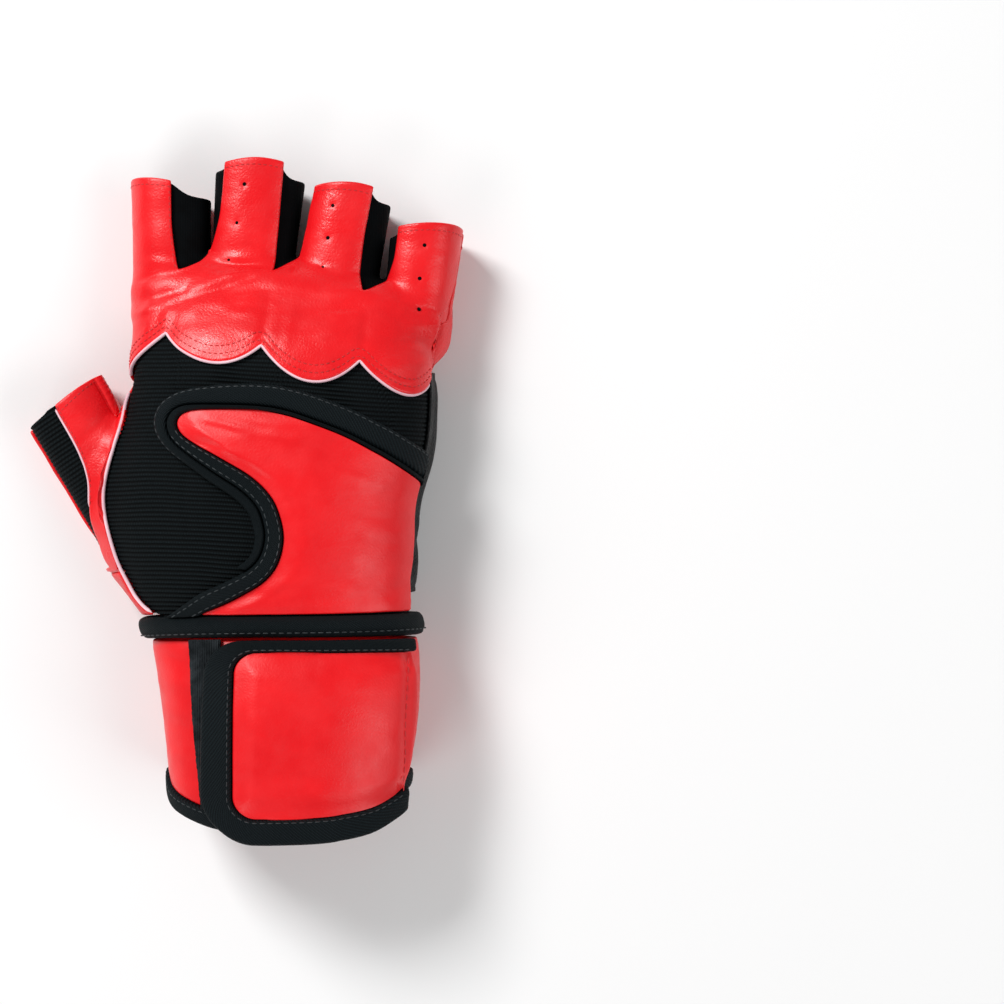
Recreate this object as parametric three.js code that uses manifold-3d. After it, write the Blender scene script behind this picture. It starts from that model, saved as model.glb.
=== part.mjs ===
// A right-hand weightlifting glove, lying palm down: red leather over a black ribbed back, a black palm
// patch, a padded back flap with a bound edge, and a wrist cuff closed by a strap on loop tape.
// Every piece is a sheet on one shared form, which is the space that the hand fills.
import * as THREE from "three";
import Module from "manifold-3d";
import { mergeVertices } from "three/addons/utils/BufferGeometryUtils.js";

const wasm = await Module();
wasm.setup();

// Driving sizes, in millimetres. X runs from the thumb side to the little finger, Y from the wrist
// binding to the fingertips, and Z up from the table.
const PALM_WIDTH = 95; // across the knuckles
const HAND_LENGTH = 105; // wrist binding to the finger webs
const HAND_DEPTH = 42; // table to the top of the back, outside the leather
const FINGER_BORE = 25; // widest finger, inside
const FINGER_DEPTH = 25;
const CUFF_LENGTH = 61; // wrist binding to the lowest point of the hem
const THUMB_BORE = 22.7;
const THUMB_DEPTH = 25;
const THUMB_LENGTH = 46.5; // root inside the hand to the rim
const THUMB_LEAN = 31; // degrees from the length of the hand
const KNIT = 1;
const LEATHER = 1.3;
const PADDED = 2.4; // back flap, cuff and strap
const LOOP_PILE = 0.9;
const CLEARANCE = 0.5; // between one layer and the next
const SEAM = 0.5; // between two pieces of one layer
const LAP = 4; // how far a lower layer runs on under the one above it
const LAP_SINK = 1.1; // how far a lower layer's hidden edge dips into the hand's space
const ROLL_WIDTH = 6.6; // wrist binding
const ROLL_RISE = 2.6; // wrist binding above the leather
const FLAP_BAND = 7.4; // the two tapes along the flap's edge, together
const TAPE_RISE = 0.8; // a binding above the piece that it edges
const STRAP_TAPE_WIDTH = 7.4;
const HEM_WIDTH = 5;
const HEM_RISE = 0.9;
const VENT_RADIUS = 0.7;
const SEAM_ROLL_WIDTH = 3.6; // the turned seam along the inside of the thumb
const SEAM_ROLL_RISE = 1.5;
const SEAM_ROLL_START = 0.3; // clear of the tight crotch, as a share of the way out to the rim

// Each layer's inner and outer face, as heights above the form.
const BASE = { inner: 0, outer: KNIT };
const SKIN = { inner: KNIT + CLEARANCE, outer: KNIT + CLEARANCE + LEATHER };
const PATCH = { inner: SKIN.outer + CLEARANCE, outer: SKIN.outer + CLEARANCE + LEATHER };
const FLAP = { inner: KNIT + CLEARANCE, outer: KNIT + CLEARANCE + PADDED };
const CUFF = { inner: 0, outer: PADDED };
const LOOP = { inner: CUFF.outer + CLEARANCE, outer: CUFF.outer + CLEARANCE + LOOP_PILE };
const STRAP = { inner: CUFF.outer + CLEARANCE, outer: CUFF.outer + CLEARANCE + PADDED };
const STRAP_LIFT = LOOP_PILE + CLEARANCE; // added where the strap lies on the loop tape

const SQUARENESS = 2.35; // exponent of the rounded sections
const FAN = 0.12; // share of the way round a section that each of its four corners takes
const FINGER_FILLET = 4;
const THUMB_FILLET = 10;
const REST_ROUND = 4;
const FINGER_ROOT = 14; // how far a finger runs back into the hand

// The hand and the cuff in sections along Y. "at" is a share of HAND_LENGTH, "left" and "right" are the
// outside edges as shares of PALM_WIDTH, "top" and "side" are the highest and the widest level as shares
// of HAND_DEPTH, and "lift" is the space left for what lies under the leather.
const PATCH_STACK = CLEARANCE + LEATHER;
const HAND = [
  { at: -0.68, left: -0.375, right: 0.36, top: 1.06, side: 0.5, lift: HEM_RISE },
  { at: -0.42, left: -0.385, right: 0.385, top: 1.08, side: 0.5, lift: HEM_RISE },
  { at: -0.22, left: -0.405, right: 0.412, top: 1.08, side: 0.5, lift: HEM_RISE },
  { at: -0.05, left: -0.437, right: 0.41, top: 1.02, side: 0.49, lift: ROLL_RISE },
  { at: 0.03, left: -0.465, right: 0.395, top: 1.01, side: 0.48, lift: ROLL_RISE },
  { at: 0.1, left: -0.515, right: 0.386, top: 1.03, side: 0.47, lift: PATCH_STACK },
  { at: 0.2, left: -0.56, right: 0.392, top: 1.05, side: 0.46, lift: PATCH_STACK },
  { at: 0.35, left: -0.585, right: 0.4, top: 1.05, side: 0.45, lift: PATCH_STACK },
  { at: 0.5, left: -0.555, right: 0.442, top: 1.02, side: 0.44, lift: PATCH_STACK },
  { at: 0.63, left: -0.525, right: 0.457, top: 0.99, side: 0.43, lift: PATCH_STACK },
  { at: 0.78, left: -0.502, right: 0.455, top: 0.93, side: 0.42, lift: PATCH_STACK },
  { at: 0.9, left: -0.498, right: 0.475, top: 0.78, side: 0.38, lift: 0 },
  { at: 1.02, left: -0.5, right: 0.5, top: 0.62, side: 0.33, lift: 0 },
];

// The fingers: base and tip are middle lines as shares of PALM_WIDTH, rim is the end on the back as a share
// of HAND_LENGTH, and wide and wideTip are shares of FINGER_BORE. The back panel covers the angles from
// backFrom to backTo, and the palm panel those from palmFrom to palmTo, in degrees. dipFrom and dipTo are
// how much shorter the finger is at the palm panel's two edges, in millimetres.
const FINGERS = [
  { name: "index", base: -0.372, tip: -0.374, wide: 0.77, wideTip: 0.81, rim: 1.275,
    backFrom: 196, backTo: 88, palmFrom: 198, palmTo: 318, dipFrom: 2, dipTo: 6 },
  { name: "middle", base: -0.12, tip: -0.094, wide: 0.92, wideTip: 1.03, rim: 1.33,
    backFrom: 140, backTo: 52, palmFrom: 222, palmTo: 316, dipFrom: 3.5, dipTo: 6.5 },
  { name: "ring", base: 0.154, tip: 0.202, wide: 0.9, wideTip: 0.87, rim: 1.26,
    backFrom: 150, backTo: 58, palmFrom: 224, palmTo: 316, dipFrom: 3.5, dipTo: 6 },
  { name: "little", base: 0.402, tip: 0.425, wide: 0.69, wideTip: 0.75, rim: 1.145,
    backFrom: 128, backTo: 14, palmFrom: 224, palmTo: 372, dipFrom: 4, dipTo: 2 },
];
const RIM_CROWN = 1.2;

// The webs between the fingers, from the thumb side, and the two side seams. "gap" is the middle of the
// space between two fingers and "crotch" its level; "back" and "palm" are the levels of the notches in the
// two leathers, at backX and palmX; "peak" is the scallop's peak, at peakX. Levels are shares of
// HAND_LENGTH and the rest are shares of PALM_WIDTH.
const SIDE_SEAM_LEFT = 0.52;
const SIDE_SEAM_RIGHT = 0.02;
const WEBS = [
  { gap: -0.55, crotch: 1.04, backX: -0.6, back: 1, palmX: -0.6, palm: 0.97,
    peakX: -0.6, peak: 0.69 },
  { gap: -0.258, crotch: 1.065, backX: -0.345, back: 1.005, palmX: -0.27, palm: 0.965,
    peakX: -0.37, peak: 0.82 },
  { gap: 0.02, crotch: 1.055, backX: -0.052, back: 0.99, palmX: 0.005, palm: 0.965,
    peakX: -0.074, peak: 0.783 },
  { gap: 0.29, crotch: 1, backX: 0.23, back: 0.93, palmX: 0.275, palm: 0.92,
    peakX: 0.223, peak: 0.744 },
  { gap: 0.55, crotch: 0.94, backX: 0.6, back: 0.89, palmX: 0.6, palm: 0.86,
    peakX: 0.6, peak: 0.7 },
];
const WEB_PULL = 12; // how far back inside the hand the web's rays start
const WEB_FILL = 9; // reach of the fillet between two fingers below the crotch
const SCALLOP_SAGS = [0, 0.064, 0.078, 0.07]; // shares of HAND_LENGTH

// Where the knit meets the red leather along the thumb side: "girth" is the way round the section.
const BACK_EDGE = [
  { at: 0.03, girth: 0.43 },
  { at: 0.045, girth: 0.445 },
  { at: 0.07, girth: 0.455 },
  { at: 0.15, girth: 0.46 },
  { at: 0.22, girth: 0.463 },
  { at: 0.35, girth: 0.468 },
  { at: 0.5, girth: 0.472 },
  { at: 0.6, girth: 0.478 },
  { at: 0.65, girth: 0.502 },
  { at: 0.68, girth: SIDE_SEAM_LEFT },
];
// Where the palm leather ends along the little finger's side.
const PALM_SIDE = [
  { at: 0.03, girth: -0.02 },
  { at: 0.715, girth: -0.02 },
  { at: 0.765, girth: SIDE_SEAM_RIGHT },
];

// The back flap's two long edges, as shares of HAND_LENGTH and PALM_WIDTH.
const FLAP_EDGES = [
  { at: 0.042, left: -0.25, right: 0.4 },
  { at: 0.08, left: -0.155, right: 0.4 },
  { at: 0.12, left: -0.075, right: 0.402 },
  { at: 0.17, left: -0.025, right: 0.404 },
  { at: 0.24, left: -0.004, right: 0.406 },
  { at: 0.3, left: -0.012, right: 0.408 },
  { at: 0.36, left: -0.04, right: 0.405 },
  { at: 0.415, left: -0.1, right: 0.37 },
  { at: 0.47, left: -0.2, right: 0.29 },
  { at: 0.525, left: -0.3, right: 0.185 },
  { at: 0.56, left: -0.325, right: 0.09 },
  { at: 0.59, left: -0.31, right: -0.01 },
  { at: 0.606, left: -0.265, right: -0.11 },
];

const FLAP_RIGHT_GIRTH = 0.032;
// The two tapes on the flap's edge: "at" runs along the edge from the wrist, round the tip and back over the
// top, and "inner" and "outer" are where each tape ends outwards, as shares of FLAP_BAND.
const FLAP_BANDS = [
  { at: 0, inner: 0.76, outer: 0.9 },
  { at: 0.18, inner: 0.74, outer: 0.98 },
  { at: 0.3, inner: 0.66, outer: 1 },
  { at: 0.44, inner: 0.6, outer: 0.92 },
  { at: 0.53, inner: 0.36, outer: 0.72 },
  { at: 0.6, inner: 0.2, outer: 0.84 },
  { at: 0.72, inner: 0.18, outer: 1 },
  { at: 1, inner: 0.18, outer: 1 },
];
const FLAP_OUTER_START = 0.16; // where the outer tape comes out from under the inner one
const FLAP_RUN_ON = 16; // how far the edge's line is drawn on below the wrist binding

// The palm patch: "at" runs across, from the thumb side to the little finger, and "low" is its lower
// edge as a share of HAND_LENGTH. Its thumb side is notched round the thumb.
const PATCH_LOW = [
  { at: 0, low: 0.34 },
  { at: 0.14, low: 0.272 },
  { at: 0.3, low: 0.195 },
  { at: 0.46, low: 0.118 },
  { at: 0.6, low: 0.085 },
  { at: 0.74, low: 0.075 },
  { at: 1, low: 0.1 },
];
const PATCH_TOP = [
  { at: 0, high: 0.785 },
  { at: 0.5, high: 0.77 },
  { at: 1, high: 0.71 },
];
const PATCH_SIDE = [
  { at: 0.34, girth: 0.635 },
  { at: 0.4, girth: 0.665 },
  { at: 0.46, girth: 0.675 },
  { at: 0.53, girth: 0.655 },
  { at: 0.59, girth: 0.6 },
  { at: 0.77, girth: 0.545 },
];
// The patch's last column steps down over the palm leather's edge on to the knit.
const PATCH_SIDE_RIGHT = { step: 0.988, edge: 1.02 };
// Where the quilting's channels cross the patch, as shares of its width, and how deep they press in.
const CHANNELS = [0.2, 0.42, 0.64, 0.84];
const CHANNEL_WIDTH = 0.07;
const CHANNEL_DEPTH = 0.45;

// The opening in the palm leather that the thumb rises from.
const THUMB_LOW = 0.16;
const THUMB_CROTCH = 0.605;
const THUMB_PALM_SIDE = 0.6;
const THUMB_ROOT = { x: -0.473, y: 0.2525 };
// The way round the thumb: "way" runs from the turned seam at the crotch, down the back, under the palm and
// back to the crotch. "from" is the share of THUMB_LENGTH at which that part of the thumb leaves the hand.
const THUMB_SEAM = 22; // degrees
const OPENING = { back: 0.24, palm: 0.44, crotch: 0.76 };
const THUMB_START = [
  { at: 0, from: 0.7 },
  { at: OPENING.back, from: 0.06 },
  { at: OPENING.palm, from: 0.06 },
  { at: OPENING.crotch, from: 0.7 },
  { at: 1, from: 0.7 },
];
const THUMB_KNIT = [
  { at: 0, from: 158, to: 192 },
  { at: 0.25, from: 150, to: 193 },
  { at: 0.42, from: 132, to: 195 },
  { at: 0.55, from: 106, to: 198 },
  { at: 1, from: 98, to: 198 },
];
const KNIT_WAY = { from: 0.28, to: 0.36, lap: 0.013 };
const THUMB_KNIT_START = 0.13;
const THUMB_RIM_SLANT = 1.5;

// The hem's lowest line round the cuff: "at" is the girth and "reach" is a share of CUFF_LENGTH.
const HEM = [
  { at: 0, reach: 0.78 },
  { at: 0.03, reach: 0.81 },
  { at: 0.055, reach: 0.87 },
  { at: 0.09, reach: 0.94 },
  { at: 0.14, reach: 0.975 },
  { at: 0.25, reach: 0.985 },
  { at: 0.38, reach: 0.975 },
  { at: 0.43, reach: 0.925 },
  { at: 0.465, reach: 0.87 },
  { at: 0.5, reach: 0.78 },
  { at: 0.57, reach: 0.83 },
  { at: 0.65, reach: 0.89 },
  { at: 0.75, reach: 0.92 },
  { at: 0.85, reach: 0.89 },
  { at: 0.93, reach: 0.83 },
  { at: 1, reach: 0.78 },
];

// The strap on the back of the cuff, as shares of PALM_WIDTH and CUFF_LENGTH.
const STRAP_LEFT = -0.144;
const STRAP_RIGHT_GIRTH = 0.045;
const STRAP_COVER = { from: 0.03, to: 0.32 }; // girths between which the strap hides the hem's binding
const STRAP_TOP = 0.135;
const STRAP_TOP_TAPE = 0.5; // the tape's width along the wrist binding, as a share of its full width
const STRAP_DROP = 0.05; // how far the red panel reaches over the hem's binding, as a share of HEM_WIDTH
const STRAP_CORNER = 6;
const LOOP_LEFT = { top: -0.285, low: -0.235 };
const LOOP_RIGHT = -0.19;

// Vent holes in the backs of three fingers: each row runs out along its finger, from one angle to another.
const VENTS = [
  { finger: 1, from: -0.1, to: 0.71, angleFrom: 121, angleTo: 109 },
  { finger: 2, from: -0.09, to: 0.7, angleFrom: 111, angleTo: 114 },
  { finger: 3, from: -0.46, to: 0.62, angleFrom: 88, angleTo: 85 },
];
const VENTS_EACH = 3;

// Small helpers.
const mix = (a, b, t) => a + (b - a) * t;
const clamp = (v, low, high) => Math.min(Math.max(v, low), high);
const radians = (degrees) => (degrees * Math.PI) / 180;

function smooth(low, high, v) {
  const t = clamp((v - low) / (high - low), 0, 1);
  return t * t * (3 - 2 * t);
}

function smoothMin(a, b, reach) {
  const h = Math.max(reach - Math.abs(a - b), 0) / reach;
  return Math.min(a, b) - (h * h * reach) / 4;
}

const smoothMax = (a, b, reach) => -smoothMin(-a, -b, reach);

// A table's column at a place between its rows, on a smooth curve through them.
function read(table, at, column) {
  const last = table.length - 1;
  if (at <= table[0].at) return table[0][column];
  if (at >= table[last].at) return table[last][column];
  const i = table.findIndex((row) => row.at > at) - 1;
  const slope = (k) => {
    const a = table[Math.max(k - 1, 0)];
    const b = table[Math.min(k + 1, last)];
    return (b[column] - a[column]) / (b.at - a.at);
  };
  const span = table[i + 1].at - table[i].at;
  const t = (at - table[i].at) / span;
  const start = table[i][column];
  const rise = table[i + 1][column] - start;
  const a = slope(i) * span;
  const b = slope(i + 1) * span;
  return start + a * t + (3 * rise - 2 * a - b) * t * t + (a + b - 2 * rise) * t * t * t;
}

// The form. A field is negative inside, zero on the form and about a distance outside.
function sectionField(across, above, half, up, down) {
  const rise = above > 0 ? up : down;
  const x = Math.abs(across) / half;
  const z = Math.abs(above) / rise;
  const r = Math.max((x ** SQUARENESS + z ** SQUARENESS) ** (1 / SQUARENESS), 1e-3);
  const steep = Math.hypot(x ** (SQUARENESS - 1) / half, z ** (SQUARENESS - 1) / rise);
  return (r - 1) / Math.max(steep * r ** (1 - SQUARENESS), 1e-3);
}

const SINK = 3; // how far a section would reach below the flat that it rests on

function handSection(y) {
  const at = y / HAND_LENGTH;
  const left = read(HAND, at, "left") * PALM_WIDTH + SKIN.outer;
  const right = read(HAND, at, "right") * PALM_WIDTH - SKIN.outer;
  const mid = read(HAND, at, "side") * HAND_DEPTH;
  const rest = SKIN.outer + read(HAND, at, "lift");
  return {
    centre: (left + right) / 2,
    half: (right - left) / 2,
    mid,
    up: read(HAND, at, "top") * HAND_DEPTH - SKIN.outer - mid,
    down: mid - rest + SINK,
    rest,
  };
}

function handEnd(x) {
  const levels = WEBS.map((w) => ({ at: w.gap, y: w.crotch }));
  return read(levels, x / PALM_WIDTH, "y") * HAND_LENGTH - FINGER_FILLET;
}

function handField(p) {
  const s = handSection(p.y);
  const body = sectionField(p.x - s.centre, p.z - s.mid, s.half, s.up, s.down);
  return smoothMax(body, p.y - handEnd(p.x), 2 * FINGER_FILLET);
}

const fingers = FINGERS.map((f, i) => {
  const mid = FINGER_DEPTH / 2;
  const web = ((WEBS[i].crotch + WEBS[i + 1].crotch) / 2) * HAND_LENGTH;
  return {
    ...f,
    web,
    root: web - FINGER_ROOT,
    rim: f.rim * HAND_LENGTH,
    mid,
    up: FINGER_DEPTH - SKIN.outer - mid,
    down: mid - SKIN.outer + SINK,
  };
});

const fingerShare = (f, y) => clamp((y - f.web) / (f.rim - f.web), -0.3, 1.3);
const fingerMiddle = (f, y) => mix(f.base, f.tip, fingerShare(f, y)) * PALM_WIDTH;

function fingerField(f, p) {
  const across = Math.hypot(p.x - fingerMiddle(f, p.y), Math.min(p.y - f.root, 0));
  const half = (mix(f.wide, f.wideTip, fingerShare(f, p.y)) * FINGER_BORE) / 2;
  return sectionField(across, p.z - f.mid, half, f.up, f.down);
}

// The four fingers together, with the space between two of them filled in below its crotch.
function fingersField(p) {
  let field = fingerField(fingers[0], p);
  for (let i = 1; i < fingers.length; i += 1) {
    const crotch = WEBS[i].crotch * HAND_LENGTH;
    const reach = mix(WEB_FILL, 1, smooth(crotch - FINGER_FILLET, crotch + FINGER_FILLET, p.y));
    field = smoothMin(field, fingerField(fingers[i], p), reach);
  }
  return field;
}

const thumb = {
  root: new THREE.Vector3(THUMB_ROOT.x * PALM_WIDTH, THUMB_ROOT.y * HAND_LENGTH, THUMB_DEPTH * 0.52),
  axis: new THREE.Vector3(-Math.sin(radians(THUMB_LEAN)), Math.cos(radians(THUMB_LEAN)), 0),
  inward: new THREE.Vector3(Math.cos(radians(THUMB_LEAN)), Math.sin(radians(THUMB_LEAN)), 0),
  half: THUMB_BORE / 2,
  up: THUMB_DEPTH * 0.48 - SKIN.outer,
  down: THUMB_DEPTH * 0.52 - SKIN.outer + SINK,
};

function thumbField(p) {
  const d = new THREE.Vector3().subVectors(p, thumb.root);
  const across = Math.hypot(d.dot(thumb.inward), Math.min(d.dot(thumb.axis), 0));
  return sectionField(across, d.z, thumb.half, thumb.up, thumb.down);
}

function restLevel(p) {
  const s = handSection(p.y);
  const outside = smooth(0, thumb.half, s.centre - s.half + thumb.half / 2 - p.x);
  return mix(s.rest, SKIN.outer, outside);
}

function form(p) {
  const hand = smoothMin(handField(p), fingersField(p), FINGER_FILLET);
  const whole = smoothMin(hand, thumbField(p), THUMB_FILLET);
  return smoothMax(whole, restLevel(p) - p.z, REST_ROUND);
}

// The first point where a ray from inside leaves the form, with the form's normal there.
const MARCH = 0.7;
const MARCH_STEPS = 110;
const HALVINGS = 18;
const PROBE = 0.05;

function normalAt(p) {
  const slope = (x, y, z) => {
    const ahead = form(new THREE.Vector3(p.x + x, p.y + y, p.z + z));
    return ahead - form(new THREE.Vector3(p.x - x, p.y - y, p.z - z));
  };
  return new THREE.Vector3(slope(PROBE, 0, 0), slope(0, PROBE, 0), slope(0, 0, PROBE)).normalize();
}

function leave(origin, direction) {
  const at = (t) => origin.clone().addScaledVector(direction, t);
  let steps = 0;
  while (form(at(steps * MARCH)) < 0 && steps < MARCH_STEPS) steps += 1;
  let inside = Math.max(steps - 1, 0) * MARCH;
  let outside = steps * MARCH;
  for (let i = 0; i < HALVINGS; i += 1) {
    const middle = (inside + outside) / 2;
    if (form(at(middle)) < 0) inside = middle;
    else outside = middle;
  }
  const point = at(inside);
  return { point, normal: normalAt(point) };
}

// Moves a point that is near the form on to it.
function settle(p) {
  const point = p.clone();
  for (let i = 0; i < 6; i += 1) point.addScaledVector(normalAt(point), -form(point));
  return { point, normal: normalAt(point) };
}

// The ray that leaves the hand's section at a girth: 0 is the little finger's side, a quarter the top, a
// half the thumb's side and three quarters the bottom.
function skeleton(y) {
  const s = handSection(y);
  const inset = Math.min(s.half, s.mid) * 0.8;
  return { left: s.centre - s.half + inset, right: s.centre + s.half - inset, inset, mid: s.mid };
}

function handRay(y, girth) {
  const k = skeleton(y);
  const g = girth - Math.floor(girth);
  const half = g < 0.5 ? g : 1 - g; // the way round, mirrored on to the upper half
  const along = clamp((half - FAN) / (0.5 - 2 * FAN), 0, 1);
  let angle = 90;
  if (half < FAN) angle = (90 * half) / FAN;
  if (half > 0.5 - FAN) angle = 180 - (90 * (0.5 - half)) / FAN;
  const side = g < 0.5 ? 1 : -1;
  return {
    origin: new THREE.Vector3(mix(k.right, k.left, along), y, k.mid),
    direction: new THREE.Vector3(Math.cos(radians(angle)), 0, side * Math.sin(radians(angle))),
  };
}

// The girth of the point on the back, or on the palm, that lies at X.
function girthAt(y, x, onPalm = false) {
  const k = skeleton(y);
  let half;
  if (x > k.right) half = (FAN * Math.acos(clamp((x - k.right) / k.inset, 0, 1)) * 2) / Math.PI;
  else if (x < k.left) half = 0.5 - (FAN * Math.acos(clamp((k.left - x) / k.inset, 0, 1)) * 2) / Math.PI;
  else half = FAN + ((0.5 - 2 * FAN) * (k.right - x)) / (k.right - k.left);
  return onPalm ? 1 - half : half;
}

function blendRays(a, b, t) {
  return {
    origin: a.origin.clone().lerp(b.origin, t),
    direction: a.direction.clone().lerp(b.direction, t).normalize(),
  };
}

const fire = (ray) => leave(ray.origin, ray.direction);

function fingerRay(f, y, angle) {
  return {
    origin: new THREE.Vector3(fingerMiddle(f, y), y, f.mid),
    direction: new THREE.Vector3(Math.cos(radians(angle)), 0, Math.sin(radians(angle))),
  };
}

// A patch is a grid of sites: each has a point on the form, a normal, and the two heights of its faces.
function patch(columns, rows, layer, place) {
  const grid = [];
  for (let j = 0; j <= rows; j += 1) {
    const row = [];
    for (let i = 0; i <= columns; i += 1) {
      const site = place(i / columns, j / rows);
      row.push({ inner: layer.inner, outer: layer.outer, ...site });
    }
    grid.push(row);
  }
  return grid;
}

// A site with a layer's two heights, sunk by some depth.
function layered(site, layer, sink = 0) {
  return { ...site, inner: layer.inner - sink, outer: layer.outer - sink };
}

const SAME_SPOT = 0.01; // sites nearer than this are one

// Closes one or more patches into a solid: an outer face, an inner face, and a wall along each free edge.
function solid(patches) {
  const position = [];
  const spots = [];
  const spot = (site) => {
    const known = spots.findIndex((point) => point.distanceToSquared(site.point) < SAME_SPOT ** 2);
    if (known >= 0) return known * 2;
    spots.push(site.point);
    for (const height of [site.outer, site.inner]) {
      position.push(...site.point.clone().addScaledVector(site.normal, height).toArray());
    }
    return (spots.length - 1) * 2;
  };
  const index = [];
  const edges = new Map();
  const triangle = (a, b, c) => {
    if (a === b || b === c || c === a) return;
    index.push(a, b, c, c + 1, b + 1, a + 1);
    for (const [from, to] of [[a, b], [b, c], [c, a]]) {
      if (edges.has(to + "," + from)) edges.delete(to + "," + from);
      else edges.set(from + "," + to, [from, to]);
    }
  };
  for (const grid of patches) {
    for (let j = 1; j < grid.length; j += 1) {
      for (let i = 1; i < grid[j].length; i += 1) {
        const [a, b] = [spot(grid[j - 1][i - 1]), spot(grid[j - 1][i])];
        const [c, d] = [spot(grid[j][i]), spot(grid[j][i - 1])];
        triangle(a, b, c);
        triangle(a, c, d);
      }
    }
  }
  for (const [from, to] of edges.values()) index.push(to, from, from + 1, to, from + 1, to + 1);
  const geometry = new THREE.BufferGeometry();
  geometry.setAttribute("position", new THREE.Float32BufferAttribute(position, 3));
  geometry.setIndex(index);
  return outward(geometry);
}

// Turns a closed geometry's faces outwards.
function outward(geometry) {
  const p = geometry.getAttribute("position");
  const i = geometry.getIndex().array;
  const [a, b, c] = [new THREE.Vector3(), new THREE.Vector3(), new THREE.Vector3()];
  let volume = 0;
  for (let k = 0; k < i.length; k += 3) {
    a.fromBufferAttribute(p, i[k]);
    b.fromBufferAttribute(p, i[k + 1]);
    c.fromBufferAttribute(p, i[k + 2]);
    volume += a.dot(b.cross(c));
  }
  if (volume < 0) geometry.setIndex([...i].reverse());
  return geometry;
}

function toManifold(geometry) {
  const bare = new THREE.BufferGeometry();
  bare.setAttribute("position", geometry.getAttribute("position"));
  bare.setIndex(geometry.getIndex());
  const merged = mergeVertices(bare, 1e-4);
  const vertProperties = new Float32Array(merged.getAttribute("position").array);
  const triVerts = new Uint32Array(merged.getIndex().array);
  return new wasm.Manifold(new wasm.Mesh({ numProp: 3, vertProperties, triVerts }));
}

function fromManifold(shape) {
  const mesh = shape.getMesh();
  const geometry = new THREE.BufferGeometry();
  geometry.setAttribute("position", new THREE.BufferAttribute(mesh.vertProperties, 3));
  geometry.setIndex(new THREE.BufferAttribute(mesh.triVerts, 1));
  return geometry;
}

// A tape that follows a path of sites: it has a rounded outer face and lies on the form all the way.
function tape(path, width, layer, rise, closed = false) {
  const count = path.length;
  const shoulders = [-0.5, -0.3, 0.3, 0.5];
  const rows = path.map((site, i) => {
    const ahead = path[closed ? (i + 1) % count : Math.min(i + 1, count - 1)].point;
    const behind = path[closed ? (i + count - 1) % count : Math.max(i - 1, 0)].point;
    const along = new THREE.Vector3().subVectors(ahead, behind).normalize();
    const side = along.clone().cross(site.normal).normalize();
    return shoulders.map((shoulder) => {
      const point = site.point.clone().addScaledVector(side, shoulder * width);
      const outer = layer.outer + (Math.abs(shoulder) < 0.5 ? rise : rise * 0.3);
      return { ...settle(point), inner: layer.inner, outer };
    });
  });
  if (closed) rows.push(rows[0]);
  return solid([rows]);
}

// The ray from inside the hand to the point of the form that a hand ray reaches near a web.
function webRay(y, girth) {
  const { point } = fire(handRay(y, girth));
  const origin = handRay(y - WEB_PULL, girth).origin;
  return { origin, direction: point.sub(origin).normalize() };
}

// A strip of leather that runs out from the web's level to the rim along one finger.
const ON_FINGER = 0.6; // by this share of the way it follows the finger alone

function onFinger(f, web, rim, angle, v) {
  const finger = fingerRay(f, mix(web.y, rim, v), angle);
  return fire(blendRays(webRay(web.y, web.girth), finger, smooth(0, ON_FINGER, v)));
}

// Knuckle leather: four strips share their edges up to the webs, then each runs out along its finger.
function backGirth(strip, u, y) {
  const edge = (k) => {
    if (k === 0) return SIDE_SEAM_LEFT;
    if (k === 4) return SIDE_SEAM_RIGHT;
    const w = WEBS[k];
    const t = clamp((y / HAND_LENGTH - w.peak) / (w.back - w.peak), 0, 1);
    return girthAt(y, mix(w.peakX, w.backX, t) * PALM_WIDTH);
  };
  return mix(edge(strip), edge(strip + 1), u);
}

function scallop(strip, u) {
  const straight = mix(WEBS[strip].peak, WEBS[strip + 1].peak, u);
  return (straight - SCALLOP_SAGS[strip] * 4 * u * (1 - u)) * HAND_LENGTH;
}

const backWeb = (strip, u) => mix(WEBS[strip].back, WEBS[strip + 1].back, u) * HAND_LENGTH;
const onBackHand = (strip, u, y) => fire(handRay(y, backGirth(strip, u, y)));

function onBackFinger(strip, u, v) {
  const f = fingers[strip];
  const y = backWeb(strip, u);
  const rim = f.rim + RIM_CROWN * (4 * u * (1 - u) - 1);
  return onFinger(f, { y, girth: backGirth(strip, u, y) }, rim, mix(f.backFrom, f.backTo, u), v);
}

const FINGER_ROWS = 6;

function knuckleLeather() {
  const patches = fingers.flatMap((f, strip) => {
    const columns = strip === 0 ? 7 : 5;
    const hand = (u, v) => onBackHand(strip, u, mix(scallop(strip, u), backWeb(strip, u), v));
    return [
      patch(columns, 6, SKIN, hand),
      patch(columns, FINGER_ROWS, SKIN, (u, v) => onBackFinger(strip, u, v)),
    ];
  });
  let leather = toManifold(solid(patches));
  for (const vent of ventPins()) leather = leather.subtract(vent);
  return fromManifold(leather);
}

// Pins that pierce the small vent holes in the backs of three fingers.
function ventPins() {
  const pins = [];
  for (const row of VENTS) {
    const f = fingers[row.finger];
    for (let k = 0; k < VENTS_EACH; k += 1) {
      const t = k / (VENTS_EACH - 1);
      const y = mix(f.web, f.rim, mix(row.from, row.to, t));
      const site = fire(fingerRay(f, y, mix(row.angleFrom, row.angleTo, t)));
      const pin = new THREE.CylinderGeometry(VENT_RADIUS, VENT_RADIUS, 4 * LEATHER, 6);
      const turn = new THREE.Quaternion().setFromUnitVectors(new THREE.Vector3(0, 1, 0), site.normal);
      pin.applyQuaternion(turn);
      pin.translate(...site.point.addScaledVector(site.normal, SKIN.outer - LEATHER / 2).toArray());
      pins.push(toManifold(pin));
    }
  }
  return pins;
}

// Palm leather: it wraps the thumb side up to the knit's edge, and leaves the thumb's opening free.
const seamShare = SEAM / (2 * PALM_WIDTH + 2 * HAND_DEPTH);

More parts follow.
